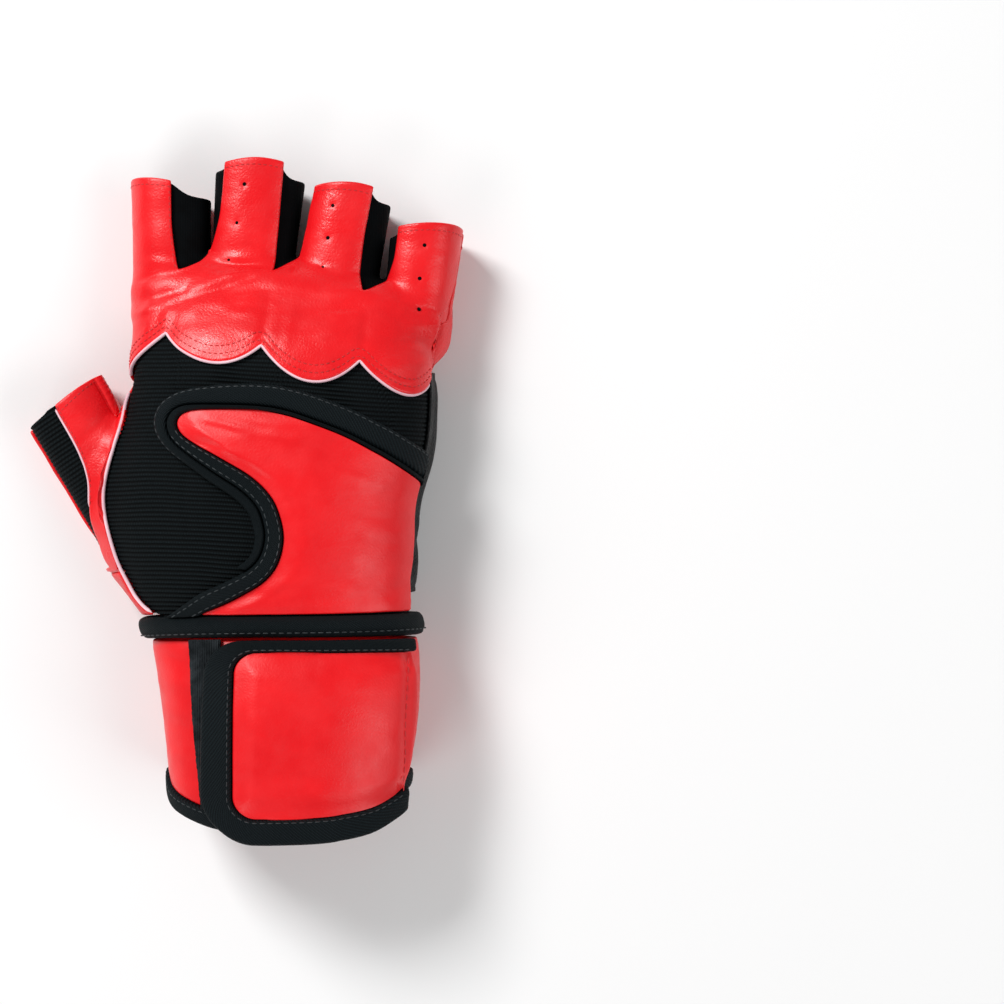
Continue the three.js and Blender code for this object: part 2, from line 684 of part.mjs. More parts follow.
const backEdge = (y) => read(BACK_EDGE, y / HAND_LENGTH, "girth");
const palmLeft = (y) => backEdge(y) + 2 * seamShare;

function palmGirth(strip, u, y) {
  const edge = (k) => {
    if (k === 0) return palmLeft(y);
    if (k === 4) return 1 + read(PALM_SIDE, y / HAND_LENGTH, "girth") - seamShare;
    return girthAt(y, WEBS[k].palmX * PALM_WIDTH, true);
  };
  return mix(edge(strip), edge(strip + 1), u);
}

const palmWeb = (strip, u) => mix(WEBS[strip].palm, WEBS[strip + 1].palm, u) * HAND_LENGTH;
const onPalmHand = (strip, u, y) => fire(handRay(y, palmGirth(strip, u, y)));

function onPalmFinger(strip, u, v) {
  const f = fingers[strip];
  const y = palmWeb(strip, u);
  const girth = palmGirth(strip, u, y);
  const rim = f.rim - mix(f.dipFrom, f.dipTo, u);
  return onFinger(f, { y, girth }, rim, mix(f.palmFrom, f.palmTo, u), v);
}

const HAND_START = ROLL_WIDTH / 2 + SEAM;

function palmLeather() {
  const low = THUMB_LOW * HAND_LENGTH;
  const crotch = THUMB_CROTCH * HAND_LENGTH;
  const patches = [];
  fingers.forEach((f, strip) => {
    const columns = strip === 0 ? 3 : 4;
    // The share of the index strip that lies outside the opening's inner side.
    const split = (y) => {
      const level = Math.min(y, crotch);
      return (THUMB_PALM_SIDE - palmLeft(level)) / (palmGirth(0, 1, level) - palmLeft(level));
    };
    const inner = (u, y) => (strip === 0 ? mix(split(y), 1, u) : u);
    const outer = (u, y) => split(y) * u;
    const bands = [
      { rows: 2, level: (u, v) => mix(HAND_START, low, v) },
      { rows: 5, level: (u, v) => mix(low, crotch, v), opening: true },
      { rows: 4, level: (u, v) => mix(crotch, palmWeb(strip, u), v) },
    ];
    for (const { rows, level, opening } of bands) {
      const place = (share) => (u, v) => {
        const across = share(u, level(u, v));
        return onPalmHand(strip, across, level(across, v));
      };
      patches.push(patch(columns, rows, SKIN, place(inner)));
      if (strip === 0 && !opening) patches.push(patch(4, rows, SKIN, place(outer)));
    }
    patches.push(patch(columns, FINGER_ROWS, SKIN, (u, v) => onPalmFinger(strip, inner(u, crotch), v)));
    if (strip === 0) {
      patches.push(patch(4, FINGER_ROWS, SKIN, (u, v) => onPalmFinger(0, outer(u, crotch), v)));
    }
  });
  return solid(patches);
}

// The thumb: its leather starts as a ring inside the palm leather's opening and runs out to the rim.
const thumbAxis = (share) => thumb.root.clone().addScaledVector(thumb.axis, THUMB_LENGTH * share);

// The site on the opening's edge for the way round the thumb.
function openingSite(way) {
  const low = THUMB_LOW * HAND_LENGTH + SEAM;
  const crotch = THUMB_CROTCH * HAND_LENGTH - SEAM;
  const palmSide = THUMB_PALM_SIDE - seamShare;
  let y = crotch;
  let girth = mix(palmSide, palmLeft(crotch), (way - OPENING.crotch) / (1 - OPENING.crotch));
  if (way < OPENING.back) {
    y = mix(crotch, low, way / OPENING.back);
    girth = palmLeft(y);
  } else if (way < OPENING.palm) {
    y = low;
    girth = mix(palmLeft(low), palmSide, (way - OPENING.back) / (OPENING.palm - OPENING.back));
  } else if (way < OPENING.crotch) {
    y = mix(low, crotch, (way - OPENING.palm) / (OPENING.crotch - OPENING.palm));
    girth = palmSide;
  }
  return fire(handRay(y, girth));
}

function onThumb(v, way, angle) {
  if (v === 0) return openingSite(way);
  const a = radians(angle);
  const start = read(THUMB_START, way, "from");
  const share = mix(start, 1 + (THUMB_RIM_SLANT * Math.cos(a)) / THUMB_LENGTH, v);
  const out = thumb.inward.clone().multiplyScalar(Math.cos(a)).setZ(Math.sin(a)).normalize();
  const direction = openingSite(way).point.sub(thumbAxis(start)).normalize();
  const root = { origin: thumbAxis(start), direction };
  return fire(blendRays(root, { origin: thumbAxis(share), direction: out }, smooth(0, 0.7, v)));
}

// The knit's window takes the way round from its start to its end; the leather has the rest.
function thumbAngle(v, way) {
  const from = read(THUMB_KNIT, v, "from");
  const to = read(THUMB_KNIT, v, "to");
  if (way < KNIT_WAY.from) return mix(THUMB_SEAM, from, way / KNIT_WAY.from);
  if (way < KNIT_WAY.to) return mix(from, to, (way - KNIT_WAY.from) / (KNIT_WAY.to - KNIT_WAY.from));
  return mix(to, THUMB_SEAM + 360, (way - KNIT_WAY.to) / (1 - KNIT_WAY.to));
}

function thumbPatch(columns, rows, ways, stations, layer) {
  return patch(columns, rows, layer, (u, v) => {
    const station = mix(stations[0], stations[1], v);
    const way = mix(ways[0], ways[1], u);
    const hidden = way < KNIT_WAY.from || way > KNIT_WAY.to || station < THUMB_KNIT_START;
    const sink = layer === BASE && hidden ? LAP_SINK : 0;
    return layered(onThumb(station, way, thumbAngle(station, way)), layer, sink);
  });
}

function thumbLeather() {
  const lower = [0, THUMB_KNIT_START];
  const upper = [THUMB_KNIT_START, 1];
  const [start, end] = [KNIT_WAY.from, KNIT_WAY.to];
  return solid([
    thumbPatch(7, 3, [0, start], lower, SKIN),
    thumbPatch(4, 3, [start, end], lower, SKIN),
    thumbPatch(16, 3, [end, 1], lower, SKIN),
    thumbPatch(7, 6, [0, start], upper, SKIN),
    thumbPatch(16, 6, [end, 1], upper, SKIN),
  ]);
}

function thumbKnit() {
  const { from, to } = KNIT_WAY;
  const bands = [
    { columns: 1, ways: [from - KNIT_WAY.lap, from] },
    { columns: 4, ways: [from, to] },
    { columns: 1, ways: [to, to + KNIT_WAY.lap] },
  ];
  return solid(
    bands.flatMap(({ columns, ways }) => [
      thumbPatch(columns, 1, ways, [THUMB_KNIT_START - 0.03, THUMB_KNIT_START], BASE),
      thumbPatch(columns, 6, ways, [THUMB_KNIT_START, 1], BASE),
    ]),
  );
}

function thumbSeam() {
  const path = [];
  for (let j = 0; j <= 6; j += 1) path.push(onThumb(mix(SEAM_ROLL_START, 0.97, j / 6), 0, THUMB_SEAM));
  const seat = { inner: SKIN.outer + CLEARANCE, outer: SKIN.outer + CLEARANCE };
  return tape(path, SEAM_ROLL_WIDTH, seat, SEAM_ROLL_RISE);
}

// Back knit: from the wrist binding up under the scalloped edge, and from edge to edge under the leather.
const KNIT_LAP = 0.01; // share of the way round

function backKnit() {
  return solid([
    patch(16, 10, BASE, (u, v) => {
      const strip = Math.min(Math.floor(u * 4), 3);
      const y = mix(HAND_START, scallop(strip, u * 4 - strip) + LAP, v);
      const right = read(PALM_SIDE, y / HAND_LENGTH, "girth") - KNIT_LAP;
      const site = fire(handRay(y, mix(backEdge(y) + KNIT_LAP, right, u)));
      return layered(site, BASE, u === 0 || u === 1 ? LAP_SINK : 0);
    }),
  ]);
}

// Gusset between two fingers: down one finger's side, round the crotch and up the next finger's side. Its
// edges run a little way on under the two leathers.
const TUCK = 0.05;

function between(a, b) {
  return a.map((site, k) => settle(site.point.clone().lerp(b[k].point, 0.5)));
}

function gusset(strip) {
  const web = WEBS[strip + 1];
  const crotch = web.crotch * HAND_LENGTH;
  const rows = 6;
  const side = (f, v) => {
    const near = f === strip;
    const u = near ? 1 - TUCK : TUCK;
    const finger = fingers[f];
    const [top, bottom] = [onBackFinger(f, u, v), onPalmFinger(f, u, v)];
    const level = mix(crotch + 2, finger.rim - (near ? finger.dipTo : finger.dipFrom), v);
    const column = [top];
    for (let k = 1; k < rows; k += 1) {
      const end = k < rows / 2 ? top.point : bottom.point;
      const toEnd = Math.abs(1 - (2 * k) / rows);
      const steep = Math.atan2(end.z - finger.mid, Math.abs(end.x - fingerMiddle(finger, end.y)));
      const y = mix(level, end.y, toEnd ** 6);
      const tilt = steep * toEnd;
      const direction = new THREE.Vector3(Math.cos(tilt) * (near ? 1 : -1), 0, Math.sin(tilt));
      column.push(leave(new THREE.Vector3(fingerMiddle(finger, y), y, finger.mid), direction));
    }
    column.push(bottom);
    return column;
  };
  const columns = [];
  for (let k = FINGER_ROWS; k >= 0; k -= 1) columns.push(side(strip, k / FINGER_ROWS));
  const far = [];
  for (let k = 0; k <= FINGER_ROWS; k += 1) far.push(side(strip + 1, k / FINGER_ROWS));
  const centre = new THREE.Vector3(web.gap * PALM_WIDTH, crotch - WEB_PULL, fingers[strip].mid);
  const turn = [onBackHand(strip, 1, web.back * HAND_LENGTH - 2)];
  for (const tilt of [55, 27, 0, -27, -55]) {
    turn.push(leave(centre, new THREE.Vector3(0, Math.cos(radians(tilt)), Math.sin(radians(tilt)))));
  }
  turn.push(onPalmHand(strip, 1, web.palm * HAND_LENGTH - 2));
  columns.push(between(columns[FINGER_ROWS], turn), turn, between(turn, far[0]), ...far);
  const sinks = { 0: LAP_SINK, 1: LAP_SINK * 0.5, [rows - 1]: LAP_SINK / 4, [rows]: LAP_SINK };
  return solid([columns.map((column) => column.map((site, k) => layered(site, BASE, sinks[k])))]);
}

// Palm patch, quilted by slanting channels.
function palmPatch() {
  return solid([
    patch(16, 10, PATCH, (u, v) => {
      const y = mix(read(PATCH_LOW, u, "low"), read(PATCH_TOP, u, "high"), v) * HAND_LENGTH;
      const left = read(PATCH_SIDE, y / HAND_LENGTH, "girth");
      const { step, edge } = PATCH_SIDE_RIGHT;
      if (u === 1) return { ...fire(handRay(y, edge)), ...SKIN };
      const site = fire(handRay(y, mix(left, step, (u * 16) / 15)));
      const slant = u + 0.35 * v - 0.15;
      const press = Math.max(0, ...CHANNELS.map((c) => 1 - Math.abs(slant - c) / CHANNEL_WIDTH));
      return { ...site, outer: PATCH.outer - CHANNEL_DEPTH * press };
    }),
  ]);
}

// Back flap and the two bindings on its free edge.
function flapGirth(y, u) {
  const at = y / HAND_LENGTH;
  const left = girthAt(y, read(FLAP_EDGES, at, "left") * PALM_WIDTH);
  const right = girthAt(y, read(FLAP_EDGES, at, "right") * PALM_WIDTH);
  return mix(left, Math.max(right, FLAP_RIGHT_GIRTH), u);
}

const FLAP_STOP = 0.38; // the level at which the flap's top edge meets the little finger's side
const FLAP_LOW = HAND_START / HAND_LENGTH;
const FLAP_HIGH = FLAP_EDGES[FLAP_EDGES.length - 1].at;

function backFlap() {
  return solid([
    patch(10, 14, FLAP, (u, v) => {
      const y = mix(FLAP_LOW, FLAP_HIGH, v) * HAND_LENGTH;
      return fire(handRay(y, flapGirth(y, u)));
    }),
  ]);
}

// The flap's free edge in plan: from below the wrist binding up the curved side, round the tip and back
// over the top to the little finger's side.
function flapLine() {
  const edge = [];
  const rows = 40;
  for (let j = 0; j <= rows; j += 1) {
    const at = mix(FLAP_LOW, FLAP_HIGH, j / rows);
    edge.push(new THREE.Vector3(read(FLAP_EDGES, at, "left") * PALM_WIDTH, at * HAND_LENGTH, 0));
  }
  for (let j = rows; j >= 0; j -= 1) {
    const at = mix(FLAP_LOW, FLAP_HIGH, j / rows);
    const x = read(FLAP_EDGES, at, "right") * PALM_WIDTH;
    if (at > FLAP_STOP) edge.push(new THREE.Vector3(x, at * HAND_LENGTH, 0));
  }
  const back = new THREE.Vector3().subVectors(edge[0], edge[1]).normalize();
  edge.unshift(edge[0].clone().addScaledVector(back, FLAP_RUN_ON));
  return new THREE.CatmullRomCurve3(edge, false, "centripetal");
}

const flapCurve = flapLine();

// The place in plan that lies outside the flap's edge by some distance.
function flapPlan(t, away) {
  const point = flapCurve.getPointAt(t);
  const tangent = flapCurve.getTangentAt(t);
  return new THREE.Vector3(point.x - tangent.y * away, point.y + tangent.x * away, 0);
}

// Where a line outside the flap's edge comes up past the wrist binding.
function flapStart(away) {
  let low = 0;
  let high = 0.3;
  for (let i = 0; i < HALVINGS; i += 1) {
    const t = (low + high) / 2;
    if (flapPlan(t, away).y < HAND_START) low = t;
    else high = t;
  }
  return high;
}

// A tape along the flap's edge. Its two sides are distances from the edge at each place on the way.
function flapTape(count, from, sides, layer) {
  const shoulders = [0, 0.2, 0.8, 1];
  return solid([
    patch(count, 3, layer, (w, v) => {
      const way = mix(from, 1, w);
      const shoulder = shoulders[Math.round(v * 3)];
      const [near, far] = sides(way);
      const away = mix(near, far, shoulder);
      const plan = flapPlan(mix(flapStart(away), FLAP_END, way), away);
      const site = fire(handRay(plan.y, Math.max(girthAt(plan.y, plan.x), FLAP_RIGHT_GIRTH)));
      const rise = shoulder === 0 || shoulder === 1 ? 0.3 * TAPE_RISE : TAPE_RISE;
      return { ...site, outer: layer.outer + rise };
    }),
  ]);
}

const FLAP_END = 0.985;
const bandEdge = (way, column) => read(FLAP_BANDS, way, column) * FLAP_BAND;

function flapInnerTape() {
  return flapTape(36, 0, (way) => [SEAM, bandEdge(way, "inner")], FLAP);
}

function flapOuterTape() {
  const thin = { inner: FLAP.inner, outer: FLAP.outer - TAPE_RISE };
  const sides = (way) => [bandEdge(way, "inner") + SEAM, bandEdge(way, "outer") + SEAM];
  return flapTape(32, FLAP_OUTER_START, sides, thin);
}

// Rings round the wrist: the binding at the crease, the cuff and the hem.
function ring(count, level) {
  const path = [];
  for (let k = 0; k < count; k += 1) path.push(fire(handRay(level(k / count), k / count)));
  return path;
}

function wristBinding() {
  const layer = { inner: BASE.inner, outer: SKIN.outer };
  return tape(ring(32, () => 0), ROLL_WIDTH, layer, ROLL_RISE, true);
}

// The lower edge of the red leather of the cuff, above the hem's binding.
const hemLevel = (girth) => HEM_WIDTH - read(HEM, girth - Math.floor(girth), "reach") * CUFF_LENGTH;

function cuff() {
  const top = -ROLL_WIDTH / 2 - SEAM;
  return solid([
    patch(32, 4, CUFF, (u, v) => fire(handRay(mix(top, hemLevel(u) + SEAM, v), u % 1))),
  ]);
}

function hemBinding() {
  const shoulders = [0, 0.2, 0.8, 1];
  return solid([
    patch(32, 3, CUFF, (u, v) => {
      const shoulder = shoulders[Math.round(v * 3)];
      const { from, to } = STRAP_COVER;
      const shoulderRise = shoulder === 0 || shoulder === 1 ? 0.3 * HEM_RISE : HEM_RISE;
      const site = fire(handRay(hemLevel(u) - shoulder * HEM_WIDTH, u % 1));
      return { ...site, outer: CUFF.outer + (u > from && u < to ? 0 : shoulderRise) };
    }),
  ]);
}

// Loop tape on the cuff, and the strap that closes over it.
function loopTape() {
  return solid([
    patch(3, 8, LOOP, (u, v) => {
      const x = mix(mix(LOOP_LEFT.low, LOOP_LEFT.top, v), LOOP_RIGHT, u) * PALM_WIDTH;
      const top = -ROLL_WIDTH / 2 - SEAM;
      const low = hemLevel(girthAt(-0.7 * CUFF_LENGTH, x)) + SEAM;
      const y = mix(low, top, v);
      return fire(handRay(y, girthAt(y, x)));
    }),
  ]);
}

// A place on the strap, or outside it by a margin along the free end and the hem, and another along the top.
// Its rows crowd together towards the two rounded corners.
function strapSite(u, v, margin = 0, topMargin = margin) {
  const left = STRAP_LEFT * PALM_WIDTH;
  const leftGirth = girthAt(-0.5 * CUFF_LENGTH, left);
  const level = (girth) => hemLevel(girth) - STRAP_DROP * HEM_WIDTH - margin;
  const top = topMargin - STRAP_TOP * CUFF_LENGTH;
  const t = (1 - Math.cos(Math.PI * v)) / 2;
  const y = mix(level(leftGirth), top, t);
  const lowRadius = STRAP_CORNER + margin;
  const topRadius = STRAP_CORNER + topMargin;
  const inLow = clamp(1 - (y - level(leftGirth)) / lowRadius, 0, 1);
  const inTop = clamp(1 - (top - y) / topRadius, 0, 1);
  const round = lowRadius * (1 - Math.sqrt(1 - inLow ** 2)) + topRadius * (1 - Math.sqrt(1 - inTop ** 2));
  const girth = mix(girthAt(y, left - margin + round), STRAP_RIGHT_GIRTH, u);
  const lift = STRAP_LIFT * (1 - smooth(0.1, 0.5, u));
  const site = fire(handRay(mix(level(girth), top, t), girth));
  return layered(site, STRAP, -lift);
}

function strap() {
  return solid([patch(10, 10, STRAP, (u, v) => strapSite(u, v))]);
}

function strapBinding() {
  const shoulders = [0, 0.2, 0.8, 1];
  const corners = [8 / 30, 22 / 30];
  return solid([
    patch(30, 3, STRAP, (w, v) => {
      const shoulder = shoulders[Math.round(v * 3)];
      const margin = SEAM + shoulder * STRAP_TAPE_WIDTH;
      const topMargin = SEAM + shoulder * STRAP_TAPE_WIDTH * STRAP_TOP_TAPE;
      let site;
      const [low, top] = corners;
      if (w < low) site = strapSite(1 - w / low, 0, margin, topMargin);
      else if (w > top) site = strapSite((w - top) / (1 - top), 1, margin, topMargin);
      else site = strapSite(0, (w - low) / (top - low), margin, topMargin);
      const rise = shoulder === 0 || shoulder === 1 ? 0.3 * TAPE_RISE : TAPE_RISE;
      return { ...site, outer: site.outer + rise };
    }),
  ]);
}

// Finishes.
const RED_LEATHER = { color: 0xe0201c, roughness: 0.42, metalness: 0 };
const BLACK_LEATHER = { color: 0x101214, roughness: 0.5, metalness: 0 };
const BLACK_KNIT = { color: 0x0a1416, roughness: 0.95, metalness: 0 };
const BLACK_TAPE = { color: 0x10191d, roughness: 0.8, metalness: 0 };

const glove = new THREE.Group();

function add(name, geometry, finish) {
  const mesh = new THREE.Mesh(geometry, new THREE.MeshStandardMaterial(finish));
  mesh.name = name;
  glove.add(mesh);
}

add("knuckle_leather", knuckleLeather(), RED_LEATHER);
add("palm_leather", palmLeather(), RED_LEATHER);
add("thumb_leather", thumbLeather(), RED_LEATHER);
add("thumb_seam", thumbSeam(), RED_LEATHER);
add("thumb_knit", thumbKnit(), BLACK_KNIT);
add("back_knit", backKnit(), BLACK_KNIT);
fingers.slice(0, 3).forEach((f, strip) => add(f.name + "_gusset", gusset(strip), BLACK_KNIT));
add("palm_patch", palmPatch(), BLACK_LEATHER);
add("back_flap", backFlap(), RED_LEATHER);
add("flap_inner_tape", flapInnerTape(), BLACK_TAPE);
add("flap_outer_tape", flapOuterTape(), BLACK_TAPE);
add("wrist_binding", wristBinding(), BLACK_TAPE);
add("cuff", cuff(), RED_LEATHER);
add("hem_binding", hemBinding(), BLACK_TAPE);
add("loop_tape", loopTape(), BLACK_KNIT);
add("strap", strap(), RED_LEATHER);
add("strap_binding", strapBinding(), BLACK_TAPE);

// The part's origin is on the table, under the middle of the glove.
const bounds = new THREE.Box3().setFromObject(glove);
const middle = bounds.getCenter(new THREE.Vector3());
glove.position.set(-middle.x, -middle.y, -bounds.min.z);

export default glove;
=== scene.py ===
"""The looks of the weightlifting glove: leather, ribbed knit, twill tapes, stitches, light and camera."""

import math

import bmesh
import bpy
import numpy as np
from mathutils import Matrix, Vector, noise


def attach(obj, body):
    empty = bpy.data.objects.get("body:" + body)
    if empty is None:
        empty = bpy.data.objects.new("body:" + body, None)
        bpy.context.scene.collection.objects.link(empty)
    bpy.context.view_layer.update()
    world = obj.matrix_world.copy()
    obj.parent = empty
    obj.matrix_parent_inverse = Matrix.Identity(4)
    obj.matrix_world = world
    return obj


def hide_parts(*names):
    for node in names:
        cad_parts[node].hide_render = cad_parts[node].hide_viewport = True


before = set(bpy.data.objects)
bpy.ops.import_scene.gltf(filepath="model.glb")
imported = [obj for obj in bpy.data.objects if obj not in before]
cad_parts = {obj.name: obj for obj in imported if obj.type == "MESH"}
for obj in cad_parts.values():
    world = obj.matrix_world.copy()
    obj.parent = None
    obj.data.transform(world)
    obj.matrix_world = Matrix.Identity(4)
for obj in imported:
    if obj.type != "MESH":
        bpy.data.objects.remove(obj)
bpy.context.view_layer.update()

# The glove's own measures, in millimetres, as the part's source has them. X runs from the thumb side to
# the little finger, Y from the wrist binding to the fingertips, Z up.
SHIFT = np.array([13.94, -38.06, 0.11])  # from these measures to the part's frame
PALM_WIDTH = 95
HAND_LENGTH = 105
HAND_DEPTH = 42
FINGER_BORE = 25
FINGER_DEPTH = 25
CUFF_LENGTH = 61
THUMB_BORE = 22.7
THUMB_DEPTH = 25
THUMB_LENGTH = 46.5
THUMB_LEAN = math.radians(31)
BASE = (0, 1)
SKIN = (1.5, 2.8)
LEATHER_WALL = SKIN[1] - SKIN[0] - 0.1
PATCH = (3.3, 4.6)
FLAP = (1.5, 3.9)
CUFF = (0, 2.4)
LOOP = (2.9, 3.8)
STRAP = (2.9, 5.3)
STRAP_LIFT = 1.4
SEAM = 0.5
LAP = 4
LAP_SINK = 1.1
GUSSET_EDGE_RISE = 0.4
ROLL_WIDTH = 6.6
ROLL_RISE = 2.6
FLAP_BAND = 7.4
TAPE_RISE = 0.8
STRAP_TAPE_WIDTH = 7.4
HEM_WIDTH = 5
HEM_RISE = 0.9
SQUARENESS = 2.35
FAN = 0.12
FINGER_FILLET = 4
THUMB_FILLET = 10
REST_ROUND = 4
FINGER_ROOT = 14
SINK = 3
WEB_PULL = 12
WEB_FILL = 9
ON_FINGER = 0.6
HAND_START = ROLL_WIDTH / 2 + SEAM
SEAM_SHARE = SEAM / (2 * PALM_WIDTH + 2 * HAND_DEPTH)


class Table:
    """Columns of values along "at", on a smooth curve through the rows."""

    def __init__(self, names, rows):
        self.names = names.split()
        values = np.array(rows, float)
        self.at, self.values = values[:, 0], values[:, 1:]
        ahead = np.minimum(np.arange(len(rows)) + 1, len(rows) - 1)
        behind = np.maximum(np.arange(len(rows)) - 1, 0)
        span = (self.at[ahead] - self.at[behind])[:, None]
        self.slopes = (self.values[ahead] - self.values[behind]) / span

    def all(self, at):
        at = np.clip(np.atleast_1d(np.asarray(at, float)), self.at[0], self.at[-1])
        i = np.clip(np.searchsorted(self.at, at, side="right") - 1, 0, len(self.at) - 2)
        span = (self.at[i + 1] - self.at[i])[:, None]
        t = (at - self.at[i])[:, None] / span
        rise = self.values[i + 1] - self.values[i]
        a, b = self.slopes[i] * span, self.slopes[i + 1] * span
        return (
            self.values[i]
            + a * t
            + (3 * rise - 2 * a - b) * t**2
            + (a + b - 2 * rise) * t**3
        )

    def read(self, at, name):
        return self.all(at)[:, self.names.index(name)]


HAND = Table(
    "left right top side lift",
    [
        [-0.68, -0.375, 0.36, 1.06, 0.5, 0.9],
        [-0.42, -0.385, 0.385, 1.08, 0.5, 0.9],
        [-0.22, -0.405, 0.412, 1.08, 0.5, 0.9],
        [-0.05, -0.437, 0.41, 1.02, 0.49, 2.6],
        [0.03, -0.465, 0.395, 1.01, 0.48, 2.6],
        [0.1, -0.515, 0.386, 1.03, 0.47, 1.8],
        [0.2, -0.56, 0.392, 1.05, 0.46, 1.8],
        [0.35, -0.585, 0.4, 1.05, 0.45, 1.8],
        [0.5, -0.555, 0.442, 1.02, 0.44, 1.8],
        [0.63, -0.525, 0.457, 0.99, 0.43, 1.8],
        [0.78, -0.502, 0.455, 0.93, 0.42, 1.8],
        [0.9, -0.498, 0.475, 0.78, 0.38, 0],
        [1.02, -0.5, 0.5, 0.62, 0.33, 0],
    ],
)
FINGERS = [
    {"base": -0.372, "tip": -0.374, "wide": 0.77, "tip_wide": 0.81, "rim": 1.275,
     "back": (196, 88), "palm": (198, 318), "dip": (2, 6)},
    {"base": -0.12, "tip": -0.094, "wide": 0.92, "tip_wide": 1.03, "rim": 1.33,
     "back": (140, 52), "palm": (222, 316), "dip": (3.5, 6.5)},
    {"base": 0.154, "tip": 0.202, "wide": 0.9, "tip_wide": 0.87, "rim": 1.26,
     "back": (150, 58), "palm": (224, 316), "dip": (3.5, 6)},
    {"base": 0.402, "tip": 0.425, "wide": 0.69, "tip_wide": 0.75, "rim": 1.145,
     "back": (128, 14), "palm": (224, 372), "dip": (4, 2)},
]
RIM_CROWN = 1.2
SIDE_SEAM_LEFT = 0.52
SIDE_SEAM_RIGHT = 0.02
WEBS = Table(
    "crotch back_x back palm_x palm peak_x peak",
    [
        [-0.55, 1.04, -0.6, 1, -0.6, 0.97, -0.6, 0.69],
        [-0.258, 1.065, -0.345, 1.005, -0.27, 0.965, -0.37, 0.82],
        [0.02, 1.055, -0.052, 0.99, 0.005, 0.965, -0.074, 0.783],
        [0.29, 1, 0.23, 0.93, 0.275, 0.92, 0.223, 0.744],
        [0.55, 0.94, 0.6, 0.89, 0.6, 0.86, 0.6, 0.7],
    ],
)
SCALLOP_SAGS = [0, 0.064, 0.078, 0.07]
BACK_EDGE = Table(
    "girth",
    [[0.03, 0.43], [0.045, 0.445], [0.07, 0.455], [0.15, 0.46], [0.22, 0.463],
     [0.35, 0.468], [0.5, 0.472], [0.6, 0.478], [0.65, 0.502], [0.68, SIDE_SEAM_LEFT]],
)
PALM_SIDE = Table("girth", [[0.03, -0.02], [0.715, -0.02], [0.765, SIDE_SEAM_RIGHT]])
FLAP_EDGES = Table(
    "left right",
    [[0.042, -0.25, 0.4], [0.08, -0.155, 0.4], [0.12, -0.075, 0.402], [0.17, -0.025, 0.404],
     [0.24, -0.004, 0.406], [0.3, -0.012, 0.408], [0.36, -0.04, 0.405], [0.415, -0.1, 0.37],
     [0.47, -0.2, 0.29], [0.525, -0.3, 0.185], [0.56, -0.325, 0.09], [0.59, -0.31, -0.01],
     [0.606, -0.265, -0.11]],
)
FLAP_RIGHT_GIRTH = 0.032
FLAP_BANDS = Table(
    "inner outer",
    [[0, 0.76, 0.9], [0.18, 0.74, 0.98], [0.3, 0.66, 1], [0.44, 0.6, 0.92], [0.53, 0.36, 0.72],
     [0.6, 0.2, 0.84], [0.72, 0.18, 1], [1, 0.18, 1]],
)
FLAP_OUTER_START = 0.16
FLAP_RUN_ON = 16
FLAP_STOP = 0.38
FLAP_END = 0.985
FLAP_LOW = HAND_START / HAND_LENGTH
FLAP_HIGH = 0.606
PATCH_LOW = Table(
    "low", [[0, 0.34], [0.14, 0.272], [0.3, 0.195], [0.46, 0.118], [0.6, 0.085], [0.74, 0.075], [1, 0.1]]
)
PATCH_TOP = Table("high", [[0, 0.785], [0.5, 0.77], [1, 0.71]])
PATCH_SIDE = Table(
    "girth", [[0.34, 0.635], [0.4, 0.665], [0.46, 0.675], [0.53, 0.655], [0.59, 0.6], [0.77, 0.545]]
)
PATCH_RIGHT = 1.018
CHANNELS = (0.2, 0.42, 0.64, 0.84)
THUMB_LOW = 0.16
THUMB_CROTCH = 0.605
THUMB_PALM_SIDE = 0.6
THUMB_ROOT = np.array([-0.473 * PALM_WIDTH, 0.2525 * HAND_LENGTH, THUMB_DEPTH * 0.52])
THUMB_SEAM = 22
OPENING = {"back": 0.24, "palm": 0.44, "crotch": 0.76}
THUMB_START = Table("start", [[0, 0.7], [0.24, 0.06], [0.44, 0.06], [0.76, 0.7], [1, 0.7]])
THUMB_KNIT = Table(
    "start end", [[0, 158, 192], [0.25, 150, 193], [0.42, 132, 195], [0.55, 106, 198], [1, 98, 198]]
)
KNIT_WAY = (0.28, 0.36)
KNIT_WAY_LAP = 0.013
KNIT_TUCK = 1.2
RIB_PITCH = 1.3
THUMB_KNIT_START = 0.13
THUMB_RIM_SLANT = 1.5
HEM = Table(
    "reach",
    [[0, 0.78], [0.03, 0.81], [0.055, 0.87], [0.09, 0.94], [0.14, 0.975], [0.25, 0.985],
     [0.38, 0.975], [0.43, 0.925], [0.465, 0.87], [0.5, 0.78], [0.57, 0.83], [0.65, 0.89],
     [0.75, 0.92], [0.85, 0.89], [0.93, 0.83], [1, 0.78]],
)
STRAP_LEFT = -0.144
STRAP_RIGHT_GIRTH = 0.045
STRAP_TOP = 0.135
STRAP_TOP_TAPE = 0.5
STRAP_SEAM = (30.1, 32.3)
STRAP_DROP = 0.05
STRAP_CORNER = 6
LOOP_LEFT = (-0.235, -0.285)
LOOP_RIGHT = -0.19
VENTS = [(1, -0.1, 0.71, 121, 109), (2, -0.09, 0.7, 111, 114), (3, -0.46, 0.62, 88, 85)]
VENT_RADIUS = 0.62


def mix(a, b, t):
    return a + (b - a) * t


def smooth(low, high, value):
    t = np.clip((value - low) / (high - low), 0, 1)
    return t * t * (3 - 2 * t)


def smooth_min(a, b, reach):
    h = np.maximum(reach - np.abs(a - b), 0) / reach
    return np.minimum(a, b) - h * h * reach / 4


def smooth_max(a, b, reach):
    return -smooth_min(-a, -b, reach)


